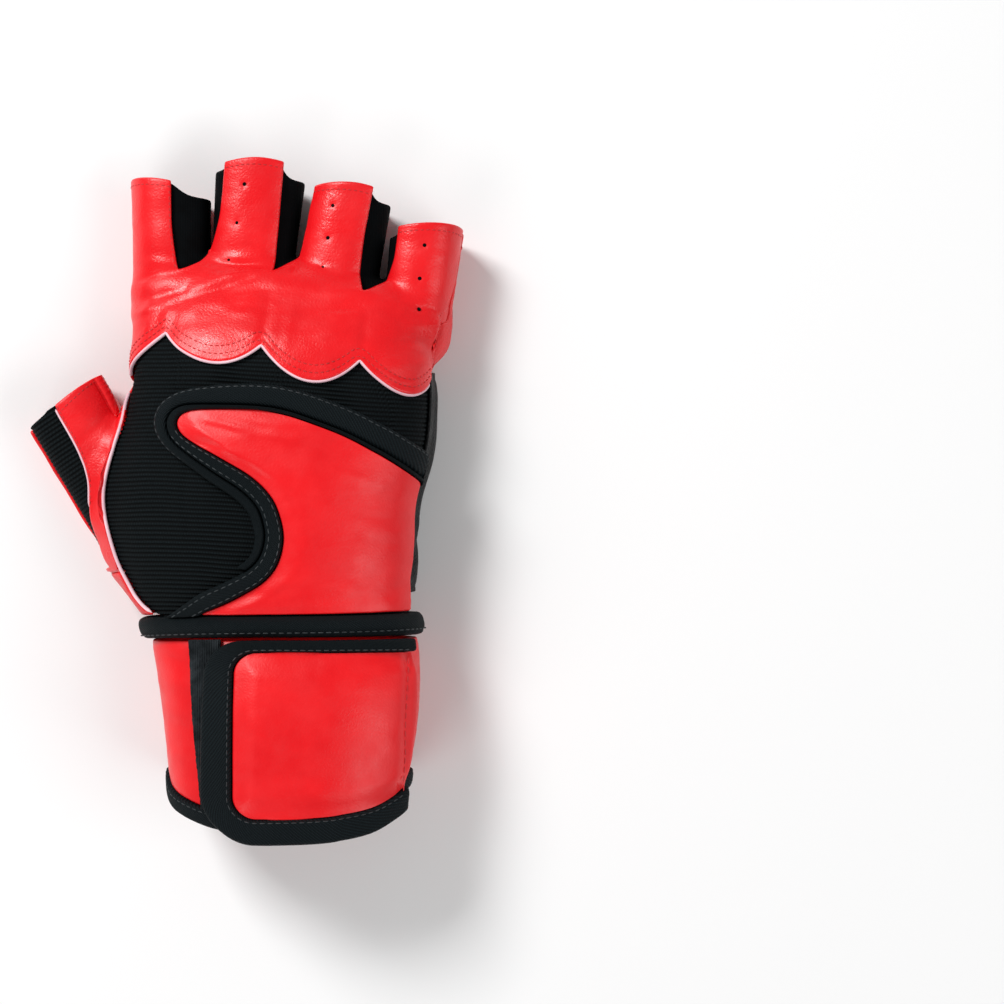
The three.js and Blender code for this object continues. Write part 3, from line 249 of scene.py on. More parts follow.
def section_field(across, above, half, up, down):
    """About the distance outside a rounded section, negative inside."""
    rise = np.where(above > 0, up, down)
    x, z = np.abs(across) / half, np.abs(above) / rise
    r = np.maximum((x**SQUARENESS + z**SQUARENESS) ** (1 / SQUARENESS), 1e-3)
    steep = np.hypot(x ** (SQUARENESS - 1) / half, z ** (SQUARENESS - 1) / rise)
    return (r - 1) / np.maximum(steep * r ** (1 - SQUARENESS), 1e-3)


def hand_section(y):
    left, right, top, side, lift = HAND.all(y / HAND_LENGTH).T
    left = left * PALM_WIDTH + SKIN[1]
    right = right * PALM_WIDTH - SKIN[1]
    mid = side * HAND_DEPTH
    rest = SKIN[1] + lift
    return {
        "centre": (left + right) / 2,
        "half": (right - left) / 2,
        "mid": mid,
        "up": top * HAND_DEPTH - SKIN[1] - mid,
        "down": mid - rest + SINK,
        "rest": rest,
    }


for row, f in enumerate(FINGERS):
    f["mid"] = FINGER_DEPTH / 2
    f["web"] = (WEBS.values[row, 0] + WEBS.values[row + 1, 0]) / 2 * HAND_LENGTH
    f["root"] = f["web"] - FINGER_ROOT
    f["rim"] *= HAND_LENGTH
FINGER_UP = FINGER_DEPTH / 2 - SKIN[1]
FINGER_DOWN = FINGER_DEPTH / 2 - SKIN[1] + SINK
THUMB_AXIS = np.array([-math.sin(THUMB_LEAN), math.cos(THUMB_LEAN), 0])
THUMB_INWARD = np.array([math.cos(THUMB_LEAN), math.sin(THUMB_LEAN), 0])
THUMB_UP = THUMB_DEPTH * 0.48 - SKIN[1]
THUMB_DOWN = THUMB_DEPTH * 0.52 - SKIN[1] + SINK


def finger_share(f, y):
    return np.clip((y - f["web"]) / (f["rim"] - f["web"]), -0.3, 1.3)


def finger_middle(f, y):
    return mix(f["base"], f["tip"], finger_share(f, y)) * PALM_WIDTH


def finger_field(f, p):
    y = p[:, 1]
    across = np.hypot(p[:, 0] - finger_middle(f, y), np.minimum(y - f["root"], 0))
    half = mix(f["wide"], f["tip_wide"], finger_share(f, y)) * FINGER_BORE / 2
    return section_field(across, p[:, 2] - f["mid"], half, FINGER_UP, FINGER_DOWN)


def form(p):
    """The space that the hand fills: negative inside, zero on its surface."""
    x, y, z = p.T
    s = hand_section(y)
    body = section_field(x - s["centre"], z - s["mid"], s["half"], s["up"], s["down"])
    end = WEBS.read(x / PALM_WIDTH, "crotch") * HAND_LENGTH - FINGER_FILLET
    hand = smooth_max(body, y - end, 2 * FINGER_FILLET)
    field = finger_field(FINGERS[0], p)
    for k in (1, 2, 3):
        crotch = WEBS.values[k, 0] * HAND_LENGTH
        reach = mix(WEB_FILL, 1, smooth(crotch - FINGER_FILLET, crotch + FINGER_FILLET, y))
        field = smooth_min(field, finger_field(FINGERS[k], p), reach)
    whole = smooth_min(hand, field, FINGER_FILLET)
    d = p - THUMB_ROOT
    across = np.hypot(d @ THUMB_INWARD, np.minimum(d @ THUMB_AXIS, 0))
    thumb = section_field(across, d[:, 2], THUMB_BORE / 2, THUMB_UP, THUMB_DOWN)
    whole = smooth_min(whole, thumb, THUMB_FILLET)
    beside = smooth(0, THUMB_BORE / 2, s["centre"] - s["half"] + THUMB_BORE / 4 - x)
    return smooth_max(whole, mix(s["rest"], SKIN[1], beside) - z, REST_ROUND)


def normal_at(p):
    slopes = []
    for axis in np.eye(3) * 0.05:
        slopes.append(form(p + axis) - form(p - axis))
    n = np.stack(slopes, 1)
    return n / np.linalg.norm(n, axis=1, keepdims=True)


MARCH = 0.7


def leave(origin, direction):
    """Where rays from inside leave the form, with its normals there."""
    inside, outside = np.zeros(len(origin)), np.full(len(origin), 110 * MARCH)
    active = np.arange(len(origin))
    for step in range(110):
        out = form(origin[active] + direction[active] * (step * MARCH)) >= 0
        inside[active[out]] = max(step - 1, 0) * MARCH
        outside[active[out]] = step * MARCH
        active = active[~out]
        if len(active) == 0:
            break
    for _ in range(16):
        middle = (inside + outside) / 2
        within = form(origin + direction * middle[:, None]) < 0
        inside = np.where(within, middle, inside)
        outside = np.where(within, outside, middle)
    point = origin + direction * inside[:, None]
    return point, normal_at(point)


def settle(point):
    for _ in range(6):
        point = point - normal_at(point) * form(point)[:, None]
    return point, normal_at(point)


def skeleton(y):
    s = hand_section(y)
    inset = np.minimum(s["half"], s["mid"]) * 0.8
    return s["centre"] - s["half"] + inset, s["centre"] + s["half"] - inset, inset, s["mid"]


def hand_ray(y, girth):
    """The ray out of the hand's section at a girth, which runs round from the little finger's side."""
    left, right, _, mid = skeleton(y)
    g = girth - np.floor(girth)
    half = np.where(g < 0.5, g, 1 - g)
    along = np.clip((half - FAN) / (0.5 - 2 * FAN), 0, 1)
    angle = np.where(half < FAN, 90 * half / FAN, 90.0)
    angle = np.where(half > 0.5 - FAN, 180 - 90 * (0.5 - half) / FAN, angle)
    a = np.radians(angle)
    side = np.where(g < 0.5, 1, -1)
    origin = np.stack([mix(right, left, along), y, mid], 1)
    return origin, np.stack([np.cos(a), 0 * a, side * np.sin(a)], 1)


def girth_at(y, x, on_palm=False):
    left, right, inset, _ = skeleton(y)
    over = np.arccos(np.clip((x - right) / inset, 0, 1)) * FAN * 2 / math.pi
    under = 0.5 - np.arccos(np.clip((left - x) / inset, 0, 1)) * FAN * 2 / math.pi
    half = FAN + (0.5 - 2 * FAN) * (right - x) / (right - left)
    half = np.where(x > right, over, np.where(x < left, under, half))
    return 1 - half if on_palm else half


def blend_rays(a, b, t):
    t = np.asarray(t)[:, None]
    direction = mix(a[1], b[1], t)
    return mix(a[0], b[0], t), direction / np.linalg.norm(direction, axis=1, keepdims=True)


def finger_ray(f, y, angle):
    a = np.radians(angle)
    origin = np.stack([finger_middle(f, y), y, np.full(len(y), f["mid"])], 1)
    return origin, np.stack([np.cos(a), 0 * a, np.sin(a)], 1)


def on_hand(y, girth):
    return leave(*hand_ray(y, girth))


def web_ray(y, girth):
    point, _ = on_hand(y, girth)
    origin = hand_ray(y - WEB_PULL, girth)[0]
    direction = point - origin
    return origin, direction / np.linalg.norm(direction, axis=1, keepdims=True)


def on_finger(f, y, girth, rim, angle, v):
    rays = blend_rays(web_ray(y, girth), finger_ray(f, mix(y, rim, v), angle), smooth(0, ON_FINGER, v))
    return leave(*rays)


WAYS = np.linspace(0, 1, 400)
PACE = WAYS * smooth(0, ON_FINGER, WAYS)


def even(v):
    """The share of the way out along a finger that spaces a panel's rows evenly."""
    return np.interp(v, PACE, WAYS)


def web(row, name):
    return WEBS.values[row, WEBS.names.index(name)]


def back_edge_girth(k, y):
    if k == 0:
        return np.full(len(y), SIDE_SEAM_LEFT)
    if k == 4:
        return np.full(len(y), SIDE_SEAM_RIGHT)
    t = np.clip((y / HAND_LENGTH - web(k, "peak")) / (web(k, "back") - web(k, "peak")), 0, 1)
    return girth_at(y, mix(web(k, "peak_x"), web(k, "back_x"), t) * PALM_WIDTH)


def back_girth(strip, u, y):
    return mix(back_edge_girth(strip, y), back_edge_girth(strip + 1, y), u)


def scallop(strip, u):
    straight = mix(web(strip, "peak"), web(strip + 1, "peak"), u)
    return (straight - SCALLOP_SAGS[strip] * 4 * u * (1 - u)) * HAND_LENGTH


def scallop_level(share):
    """The scalloped line's level at a share of the whole way across the back."""
    strip = np.minimum(np.floor(share * 4), 3).astype(int)
    peaks = WEBS.values[:, WEBS.names.index("peak")]
    u = share * 4 - strip
    sag = np.array(SCALLOP_SAGS)[strip] * 4 * u * (1 - u)
    return (mix(peaks[strip], peaks[strip + 1], u) - sag) * HAND_LENGTH


def knuckle_site(strip, u, v):
    """On the knuckle leather: v runs from the scallops to the web's level at 1 and the rim at 2."""
    y_web = mix(web(strip, "back"), web(strip + 1, "back"), u) * HAND_LENGTH
    f = FINGERS[strip]
    low = v <= 1
    points, normals = np.empty((len(u), 3)), np.empty((len(u), 3))
    y = mix(scallop(strip, u), y_web, np.minimum(v, 1))
    points[low], normals[low] = on_hand(y[low], back_girth(strip, u, y)[low])
    if (~low).any():
        u, y_web, v = u[~low], y_web[~low], v[~low] - 1
        rim = f["rim"] + RIM_CROWN * (4 * u * (1 - u) - 1)
        angle = mix(f["back"][0], f["back"][1], u)
        points[~low], normals[~low] = on_finger(f, y_web, back_girth(strip, u, y_web), rim, angle, v)
    return points, normals


def palm_left(y):
    return BACK_EDGE.read(y / HAND_LENGTH, "girth") + 2 * SEAM_SHARE


def palm_edge_girth(k, y):
    if k == 0:
        return palm_left(y)
    if k == 4:
        return 1 + PALM_SIDE.read(y / HAND_LENGTH, "girth") - SEAM_SHARE
    return girth_at(y, np.full(len(y), web(k, "palm_x") * PALM_WIDTH), True)


def palm_girth(strip, u, y):
    return mix(palm_edge_girth(strip, y), palm_edge_girth(strip + 1, y), u)


LOW = THUMB_LOW * HAND_LENGTH
CROTCH = THUMB_CROTCH * HAND_LENGTH


def palm_split(y):
    """The share of the index strip that lies outside the inner side of the thumb's opening."""
    level = np.minimum(y, CROTCH)
    return (THUMB_PALM_SIDE - palm_left(level)) / (palm_girth(0, 1, level) - palm_left(level))


def palm_site(strip, u, v, share):
    """On the palm leather: v runs over the low band, the thumb's opening, the upper band and the finger."""
    web_level = mix(web(strip, "palm"), web(strip + 1, "palm"), u) * HAND_LENGTH
    y = np.where(v < 1, mix(HAND_START, LOW, v), np.where(v < 2, mix(LOW, CROTCH, v - 1), 0.0))
    upper = mix(CROTCH, web_level, np.clip(v - 2, 0, 1))
    level = np.where(v >= 2, upper, y)
    across = share(u, np.where(v > 3, CROTCH, level))
    web_level = mix(web(strip, "palm"), web(strip + 1, "palm"), across) * HAND_LENGTH
    level = np.where(v >= 2, mix(CROTCH, web_level, np.clip(v - 2, 0, 1)), y)
    low = v <= 3
    points, normals = np.empty((len(u), 3)), np.empty((len(u), 3))
    points[low], normals[low] = on_hand(level[low], palm_girth(strip, across, level)[low])
    if (~low).any():
        f = FINGERS[strip]
        u, y, v = across[~low], web_level[~low], v[~low] - 3
        rim = f["rim"] - mix(f["dip"][0], f["dip"][1], u)
        angle = mix(f["palm"][0], f["palm"][1], u)
        points[~low], normals[~low] = on_finger(f, y, palm_girth(strip, u, y), rim, angle, v)
    return points, normals


def opening_site(way):
    low, crotch = LOW + SEAM, CROTCH - SEAM
    palm_side = THUMB_PALM_SIDE - SEAM_SHARE
    back, palm, top = OPENING["back"], OPENING["palm"], OPENING["crotch"]
    y = np.full(len(way), crotch)
    girth = mix(palm_side, palm_left(y), (way - top) / (1 - top))
    on_back = way < back
    y = np.where(on_back, mix(crotch, low, way / back), y)
    girth = np.where(on_back, palm_left(y), girth)
    below = (way >= back) & (way < palm)
    y = np.where(below, low, y)
    girth = np.where(below, mix(palm_left(y), palm_side, (way - back) / (palm - back)), girth)
    side = (way >= palm) & (way < top)
    y = np.where(side, mix(low, crotch, (way - palm) / (top - palm)), y)
    girth = np.where(side, palm_side, girth)
    return on_hand(y, girth)


def thumb_axis(share):
    return THUMB_ROOT + THUMB_AXIS * (THUMB_LENGTH * share)[:, None]


def thumb_site(v, way, angle):
    a = np.radians(angle)
    start = THUMB_START.read(way, "start")
    share = mix(start, 1 + THUMB_RIM_SLANT * np.cos(a) / THUMB_LENGTH, v)
    out = THUMB_INWARD * np.cos(a)[:, None] + np.array([0, 0, 1]) * np.sin(a)[:, None]
    ring, ring_normal = opening_site(way)
    direction = ring - thumb_axis(start)
    direction /= np.linalg.norm(direction, axis=1, keepdims=True)
    rays = blend_rays((thumb_axis(start), direction), (thumb_axis(share), out), smooth(0, 0.7, v))
    point, normal = leave(*rays)
    at_ring = (v <= 0)[:, None]
    return np.where(at_ring, ring, point), np.where(at_ring, ring_normal, normal)


def thumb_angle(v, way):
    start, end = THUMB_KNIT.all(v).T
    first, last = KNIT_WAY
    angle = mix(start, end, (way - first) / (last - first))
    angle = np.where(way < first, mix(THUMB_SEAM, start, way / first), angle)
    return np.where(way > last, mix(end, THUMB_SEAM + 360.0, (way - last) / (1 - last)), angle)


# The flap's edge line in plan, close enough together to measure along.
def flap_line():
    at = np.linspace(FLAP_LOW, FLAP_HIGH, 240)
    left = np.stack([FLAP_EDGES.read(at, "left") * PALM_WIDTH, at * HAND_LENGTH], 1)
    back = at[::-1]
    back = back[back > FLAP_STOP]
    right = np.stack([FLAP_EDGES.read(back, "right") * PALM_WIDTH, back * HAND_LENGTH], 1)
    run = left[0] - left[6]
    run = left[0] + run / np.linalg.norm(run) * FLAP_RUN_ON
    line = np.concatenate([[run], left, right])
    for _ in range(14):
        line[1:-1] = (line[:-2] + line[1:-1] * 2 + line[2:]) / 4
    length = np.concatenate([[0], np.cumsum(np.linalg.norm(np.diff(line, axis=0), axis=1))])
    return line, length


FLAP_LINE, FLAP_LENGTHS = flap_line()


def flap_plan(t, away):
    """The place in plan that lies outside the flap's edge by some distance."""
    total = FLAP_LENGTHS[-1]
    point = np.stack([np.interp(t * total, FLAP_LENGTHS, FLAP_LINE[:, k]) for k in (0, 1)], 1)
    reach = 1.2
    ends = [
        np.stack([np.interp(t * total + s, FLAP_LENGTHS, FLAP_LINE[:, k]) for k in (0, 1)], 1)
        for s in (-reach, reach)
    ]
    tangent = ends[1] - ends[0]
    tangent /= np.maximum(np.linalg.norm(tangent, axis=1, keepdims=True), 1e-9)
    return point + np.stack([-tangent[:, 1], tangent[:, 0]], 1) * np.asarray(away)[:, None]


def flap_start(away, floor):
    low, high = np.zeros(len(away)), np.full(len(away), 0.3)
    for _ in range(18):
        t = (low + high) / 2
        under = flap_plan(t, away)[:, 1] < floor
        low, high = np.where(under, t, low), np.where(under, high, t)
    return high


def flap_edge_site(way, away, floor=HAND_START):
    plan = flap_plan(mix(flap_start(away, floor), FLAP_END, way), away)
    x, y = plan.T
    return on_hand(y, np.maximum(girth_at(y, x), FLAP_RIGHT_GIRTH))


def flap_site(u, v):
    y = mix(FLAP_LOW, FLAP_HIGH, v) * HAND_LENGTH
    left, right = (FLAP_EDGES.all(y / HAND_LENGTH) * PALM_WIDTH).T
    right = np.maximum(girth_at(y, right), FLAP_RIGHT_GIRTH)
    return on_hand(y, mix(girth_at(y, left), right, u))


def hem_level(girth):
    return HEM_WIDTH - HEM.read(girth - np.floor(girth), "reach") * CUFF_LENGTH


def strap_site(u, v, margin, top_margin):
    """On the strap, or outside it by a margin along its free end and the hem, and another on top."""
    left = np.full(len(u), STRAP_LEFT * PALM_WIDTH)
    left_girth = girth_at(np.full(len(u), -0.5 * CUFF_LENGTH), left)
    drop = STRAP_DROP * HEM_WIDTH + margin
    top = top_margin - STRAP_TOP * CUFF_LENGTH
    t = (1 - np.cos(math.pi * v)) / 2
    lowest = hem_level(left_girth) - drop
    y = mix(lowest, top, t)
    low_radius, top_radius = STRAP_CORNER + margin, STRAP_CORNER + top_margin
    in_low = np.clip(1 - (y - lowest) / low_radius, 0, 1)
    in_top = np.clip(1 - (top - y) / top_radius, 0, 1)
    inset = low_radius * (1 - np.sqrt(1 - in_low**2)) + top_radius * (1 - np.sqrt(1 - in_top**2))
    girth = mix(girth_at(y, left - margin + inset), STRAP_RIGHT_GIRTH, u)
    lift = STRAP_LIFT * (1 - smooth(0.1, 0.5, u))
    point, normal = on_hand(mix(hem_level(girth) - drop, top, t), girth)
    return point + normal * lift[:, None], normal


def to_frame(point, normal, height):
    """Places at a height above the form, in metres in the part's frame."""
    height = np.broadcast_to(np.asarray(height, float), (len(point),))
    return (point + normal * height[:, None] + SHIFT) / 1000


def waves(point, size, seed=0.0):
    """Soft uneven noise, about -1 to 1, with bumps of a size in millimetres."""
    return np.array([noise.noise(Vector(p / size) + Vector((seed, seed * 1.7, 0))) for p in point])


def folds(point, lines):
    """Creases and swellings: each line has two ends in plan, its half width and its height."""
    total = np.zeros(len(point))
    for ax, ay, bx, by, width, height in lines:
        a, b = np.array([ax, ay]), np.array([bx, by])
        along = b - a
        t = np.clip((point[:, :2] - a) @ along / (along @ along), 0, 1)
        d = np.linalg.norm(point[:, :2] - a - t[:, None] * along, axis=1)
        total += height * np.exp(-((d / width) ** 2)) * np.sin(math.pi * np.clip(t, 0.04, 0.96)) ** 0.5
    return total


class Piece:
    """A sheet made of mapped grids that share their edges."""

    def __init__(self):
        self.bm = bmesh.new()
        self.uv = self.bm.loops.layers.uv.new("UVMap")

    def grid(self, columns, rows, place, size=(1, 1)):
        """place takes u and v, each from 0 to 1, and gives points in metres, and UVs if it has its own."""
        made = bmesh.ops.create_grid(self.bm, x_segments=columns, y_segments=rows, size=0.5)["verts"]
        uv = np.array([(v.co.x + 0.5, v.co.y + 0.5) for v in made])
        points = place(uv[:, 0].copy(), uv[:, 1].copy())
        uv = uv * size
        if isinstance(points, tuple):
            points, uv = points
        where = {}
        for vert, at, point in zip(made, uv, points):
            vert.co = point
            where[vert] = at
        for face in {f for v in made for f in v.link_faces}:
            for loop in face.loops:
                loop[self.uv].uv = where[loop.vert]

    def finish(self, name, materials, nodes=(), wall=None, smooth_levels=0, merge=2e-5):
        bmesh.ops.remove_doubles(self.bm, verts=self.bm.verts, dist=merge)
        bmesh.ops.recalc_face_normals(self.bm, faces=self.bm.faces)
        if not closed(self.bm):
            face_up(self.bm)
        for face in self.bm.faces:
            face.smooth = True
        return put(self.bm, name, materials, nodes, wall, smooth_levels)


def closed(bm):
    return all(len(e.link_faces) == 2 for e in bm.edges)


def face_up(bm):
    """Turns an open sheet's faces away from the inside of the glove."""
    total = 0.0
    for face in bm.faces:
        c = face.calc_center_median()
        middle = inside_of(c)
        total += face.normal.dot(c - middle) * face.calc_area()
    if total < 0:
        bmesh.ops.reverse_faces(bm, faces=bm.faces)


def inside_of(point):
    """A place on the glove's own middle line near a point."""
    x, y, _ = (np.array(point) * 1000 - SHIFT).tolist()
    if x < -0.56 * PALM_WIDTH and y > 0.1 * HAND_LENGTH:
        t = (np.array([x, y, 0]) - THUMB_ROOT) @ THUMB_AXIS
        middle = THUMB_ROOT + THUMB_AXIS * t
    elif y > 1.03 * HAND_LENGTH:
        f = min(FINGERS, key=lambda f: abs(x - f["base"] * PALM_WIDTH))
        middle = np.array([finger_middle(f, y), y, f["mid"]])
    else:
        k = skeleton(np.array([float(y)]))
        middle = np.array([min(max(x, k[0][0]), k[1][0]), y, k[3][0]])
    return Vector(((middle + SHIFT) / 1000).tolist())


def put(bm, name, materials, nodes=(), wall=None, smooth_levels=0):
    mesh = bpy.data.meshes.new(name)
    bm.to_mesh(mesh)
    bm.free()
    obj = bpy.data.objects.new(name, mesh)
    bpy.context.collection.objects.link(obj)
    for material in materials:
        mesh.materials.append(material)
    if wall:
        solid = obj.modifiers.new("Wall", "SOLIDIFY")
        solid.thickness = wall / 1000
        solid.offset = -1
    if smooth_levels:
        soft = obj.modifiers.new("Soft", "SUBSURF")
        soft.levels = soft.render_levels = smooth_levels
    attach(obj, "root")
    if nodes:
        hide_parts(*nodes)
    return obj


# Materials. The shared groups put out only masks, values and normals.
def new_group(name, inputs, outputs):
    group = bpy.data.node_groups.new(name, "ShaderNodeTree")
    for label, kind, default in inputs:
        socket = group.interface.new_socket(label, in_out="INPUT", socket_type=kind)
        socket.default_value = default
    for label, kind in outputs:
        group.interface.new_socket(label, in_out="OUTPUT", socket_type=kind)
    return group, group.nodes.new("NodeGroupInput"), group.nodes.new("NodeGroupOutput")


def node(tree, kind, **settings):
    made = tree.nodes.new(kind)
    for key, value in settings.items():
        setattr(made, key, value)
    return made


def maths(tree, operation, a, b=0):
    made = node(tree, "ShaderNodeMath", operation=operation)
    for socket, value in zip(made.inputs, (a, b)):
        if isinstance(value, (int, float)):
            socket.default_value = value
        else:
            tree.links.new(value, socket)
    return made.outputs[0]


def ramp_of(tree, value, low, high, to=(0.0, 1.0)):
    made = node(tree, "ShaderNodeMapRange", clamp=True)
    tree.links.new(value, made.inputs["Value"])
    made.inputs["From Min"].default_value, made.inputs["From Max"].default_value = low, high
    made.inputs["To Min"].default_value, made.inputs["To Max"].default_value = to
    return made.outputs["Result"]


def noise_of(tree, vector, scale, detail, output="Fac", roughness=0.5):
    made = node(tree, "ShaderNodeTexNoise")
    made.inputs["Scale"].default_value, made.inputs["Detail"].default_value = scale, detail
    made.inputs["Roughness"].default_value = roughness
    tree.links.new(vector, made.inputs["Vector"])
    return made.outputs[output]


def leather_grain():
    """Fine pebbles and creases of grained leather: height, a shade and wear."""
    group, into, out = new_group(
        "leather_grain",
        [("Vector", "NodeSocketVector", (0, 0, 0)), ("Pebbles", "NodeSocketFloat", 1.0)],
        [("Height", "NodeSocketFloat"), ("Shade", "NodeSocketFloat"), ("Sheen", "NodeSocketFloat")],
    )
    cells = node(group, "ShaderNodeTexVoronoi", feature="DISTANCE_TO_EDGE")
    cells.inputs["Scale"].default_value = 900
    shift = node(group, "ShaderNodeVectorMath", operation="SCALE")
    shift.inputs["Scale"].default_value = 0.0011
    group.links.new(noise_of(group, into.outputs["Vector"], 260, 4, "Color"), shift.inputs[0])
    place = node(group, "ShaderNodeVectorMath", operation="ADD")
    group.links.new(into.outputs["Vector"], place.inputs[0])
    group.links.new(shift.outputs[0], place.inputs[1])
    group.links.new(place.outputs[0], cells.inputs["Vector"])
    pebble = ramp_of(group, cells.outputs["Distance"], 0, 0.35)
    pebble = maths(group, "MULTIPLY", pebble, into.outputs["Pebbles"])
    fine = noise_of(group, into.outputs["Vector"], 2600, 5)
    height = maths(group, "ADD", pebble, maths(group, "MULTIPLY", fine, 0.8))
    cloud = noise_of(group, into.outputs["Vector"], 55, 6, roughness=0.62)
    patchy = noise_of(group, into.outputs["Vector"], 130, 3)
    group.links.new(height, out.inputs["Height"])
    group.links.new(ramp_of(group, cloud, 0.32, 0.7), out.inputs["Shade"])
    group.links.new(ramp_of(group, patchy, 0.35, 0.65), out.inputs["Sheen"])
    return group


def twill_weave():
    """Slanting ribs of a woven tape, from a UV map in millimetres. Its shade output is painted light: painted
    shade in the weave's grooves and painted highlight on its ribs, with random fuzz tone.
    """
    group, into, out = new_group(
        "twill_weave",
        [("Vector", "NodeSocketVector", (0, 0, 0))],
        [("Height", "NodeSocketFloat"), ("Shade", "NodeSocketFloat")],
    )
    split = node(group, "ShaderNodeSeparateXYZ")
    group.links.new(into.outputs["Vector"], split.inputs[0])
    slant = maths(group, "ADD", maths(group, "MULTIPLY", split.outputs["X"], 0.72), split.outputs["Y"])
    rib = maths(group, "SINE", maths(group, "MULTIPLY", slant, 2 * math.pi / 0.85), 0)
    cross = maths(group, "SUBTRACT", split.outputs["X"], maths(group, "MULTIPLY", split.outputs["Y"], 0.5))
    knot = maths(group, "SINE", maths(group, "MULTIPLY", cross, 2 * math.pi / 0.6), 0)
    rib = ramp_of(group, rib, -1, 1)
    height = maths(group, "MULTIPLY", rib, ramp_of(group, knot, -1, 1, (0.6, 1.0)))
    fuzz = noise_of(group, into.outputs["Vector"], 4, 5)
    height = maths(group, "ADD", height, maths(group, "MULTIPLY", fuzz, 0.35))
    group.links.new(height, out.inputs["Height"])
    # The colour follows the height: painted shade in the grooves, painted highlight on the ribs, plus random
    # fuzz tone.
    group.links.new(height, out.inputs["Shade"])
    return group


def yarn_fuzz():
    """Fine threads of a knit on Object coordinates: height and a shade."""
    group, into, out = new_group(
        "yarn_fuzz",
        [("Vector", "NodeSocketVector", (0, 0, 0))],
        [("Height", "NodeSocketFloat"), ("Shade", "NodeSocketFloat")],
    )
    split = node(group, "ShaderNodeSeparateXYZ")
    group.links.new(into.outputs["Vector"], split.inputs[0])
    loops = maths(group, "SINE", maths(group, "MULTIPLY", split.outputs["X"], 2 * math.pi / 0.0007), 0)
    fine = noise_of(group, into.outputs["Vector"], 1800, 6)
    height = maths(group, "ADD", ramp_of(group, loops, -1, 1), fine)
    group.links.new(height, out.inputs["Height"])
    wide = noise_of(group, into.outputs["Vector"], 160, 4)
    group.links.new(ramp_of(group, wide, 0.3, 0.7), out.inputs["Shade"])
    return group


def rib_threads():
    """Ribs and the threads across them, from a UV map: millimetres across, and ribs along. Its shade output
    is painted light: painted highlight on the rib crests and painted shade in the valleys, times a random
    patchy tone.
    """
    group, into, out = new_group(
        "rib_threads",
        [("Vector", "NodeSocketVector", (0, 0, 0))],
        [("Height", "NodeSocketFloat"), ("Shade", "NodeSocketFloat")],
    )
    split = node(group, "ShaderNodeSeparateXYZ")
    group.links.new(into.outputs["Vector"], split.inputs[0])
    turns = maths(group, "MULTIPLY", split.outputs["Y"], math.pi)
    rib = maths(group, "ABSOLUTE", maths(group, "SINE", turns, 0), 0)
    row = maths(group, "MULTIPLY", maths(group, "FLOOR", split.outputs["Y"], 0), math.pi)
    thread = maths(group, "ADD", maths(group, "MULTIPLY", split.outputs["X"], 2 * math.pi / 0.8), row)
    thread = ramp_of(group, maths(group, "SINE", thread, 0), -1, 1)
    height = maths(group, "MULTIPLY", rib, maths(group, "ADD", maths(group, "MULTIPLY", thread, 0.35), 0.65))
    fuzz = noise_of(group, into.outputs["Vector"], 3, 5)
    worn = ramp_of(group, fuzz, 0.3, 0.75, (0.45, 1.0))
    group.links.new(height, out.inputs["Height"])
    # Shade: painted highlight on the rib crests and painted shade between the ribs, matching the modelled
    # ribs, dimmed in random patches.
    group.links.new(maths(group, "MULTIPLY", maths(group, "POWER", height, 2.2), worn), out.inputs["Shade"])
    return group


RIBS = rib_threads()
GRAIN = leather_grain()
TWILL = twill_weave()
FUZZ = yarn_fuzz()


def start_material(name):
    material = bpy.data.materials.new(name)
    material.use_nodes = True
    tree = material.node_tree
    shader = next(n for n in tree.nodes if n.type == "BSDF_PRINCIPLED")
    return material, tree, shader, node(tree, "ShaderNodeTexCoord")


def blend_colours(tree, factor, a, b):
    made = node(tree, "ShaderNodeMix", data_type="RGBA")
    tree.links.new(factor, made.inputs["Factor"])
    made.inputs[6].default_value, made.inputs[7].default_value = (*a, 1), (*b, 1)
    return made.outputs[2]


TAPE_SHINE = 0.12
KNIT_SHINE = 0.06


def dress(tree, shader, pattern, low, high, depth, strength, shine):
    """Gives a material its colours, relief and shine from a shared pattern."""
    tree.links.new(blend_colours(tree, pattern.outputs["Shade"], low, high), shader.inputs["Base Color"])
    bump = node(tree, "ShaderNodeBump")
    bump.inputs["Strength"].default_value = strength
    bump.inputs["Distance"].default_value = depth
    tree.links.new(pattern.outputs["Height"], bump.inputs["Height"])
    tree.links.new(bump.outputs["Normal"], shader.inputs["Normal"])
    shader.inputs["Specular IOR Level"].default_value = shine


def leather(name, low, high, rough, pebbles, strength, depth=0.00012, shine=0.5):
    material, tree, shader, place = start_material(name)
    grain = node(tree, "ShaderNodeGroup", node_tree=GRAIN)
    grain.inputs["Pebbles"].default_value = pebbles
    tree.links.new(place.outputs["Object"], grain.inputs["Vector"])
    patchy = ramp_of(tree, grain.outputs["Sheen"], 0, 1, (rough - 0.06, rough + 0.08))
    tree.links.new(patchy, shader.inputs["Roughness"])
    dress(tree, shader, grain, low, high, depth, strength, shine)
    return material


def woven(name, low, high, rough, depth=0.0002, threads=None):
    material, tree, shader, place = start_material(name)
    weave = node(tree, "ShaderNodeGroup", node_tree=threads or TWILL)
    tree.links.new(place.outputs["UV"], weave.inputs["Vector"])
    dress(tree, shader, weave, low, high, depth, 1, TAPE_SHINE)
    shader.inputs["Roughness"].default_value = rough
    return material


def knitted(name, low, high, rough, depth=0.00015):
    material, tree, shader, place = start_material(name)
    yarn = node(tree, "ShaderNodeGroup", node_tree=FUZZ)
    tree.links.new(place.outputs["Object"], yarn.inputs["Vector"])
    dress(tree, shader, yarn, low, high, depth, 0.6, KNIT_SHINE)
    shader.inputs["Roughness"].default_value = rough
    return material


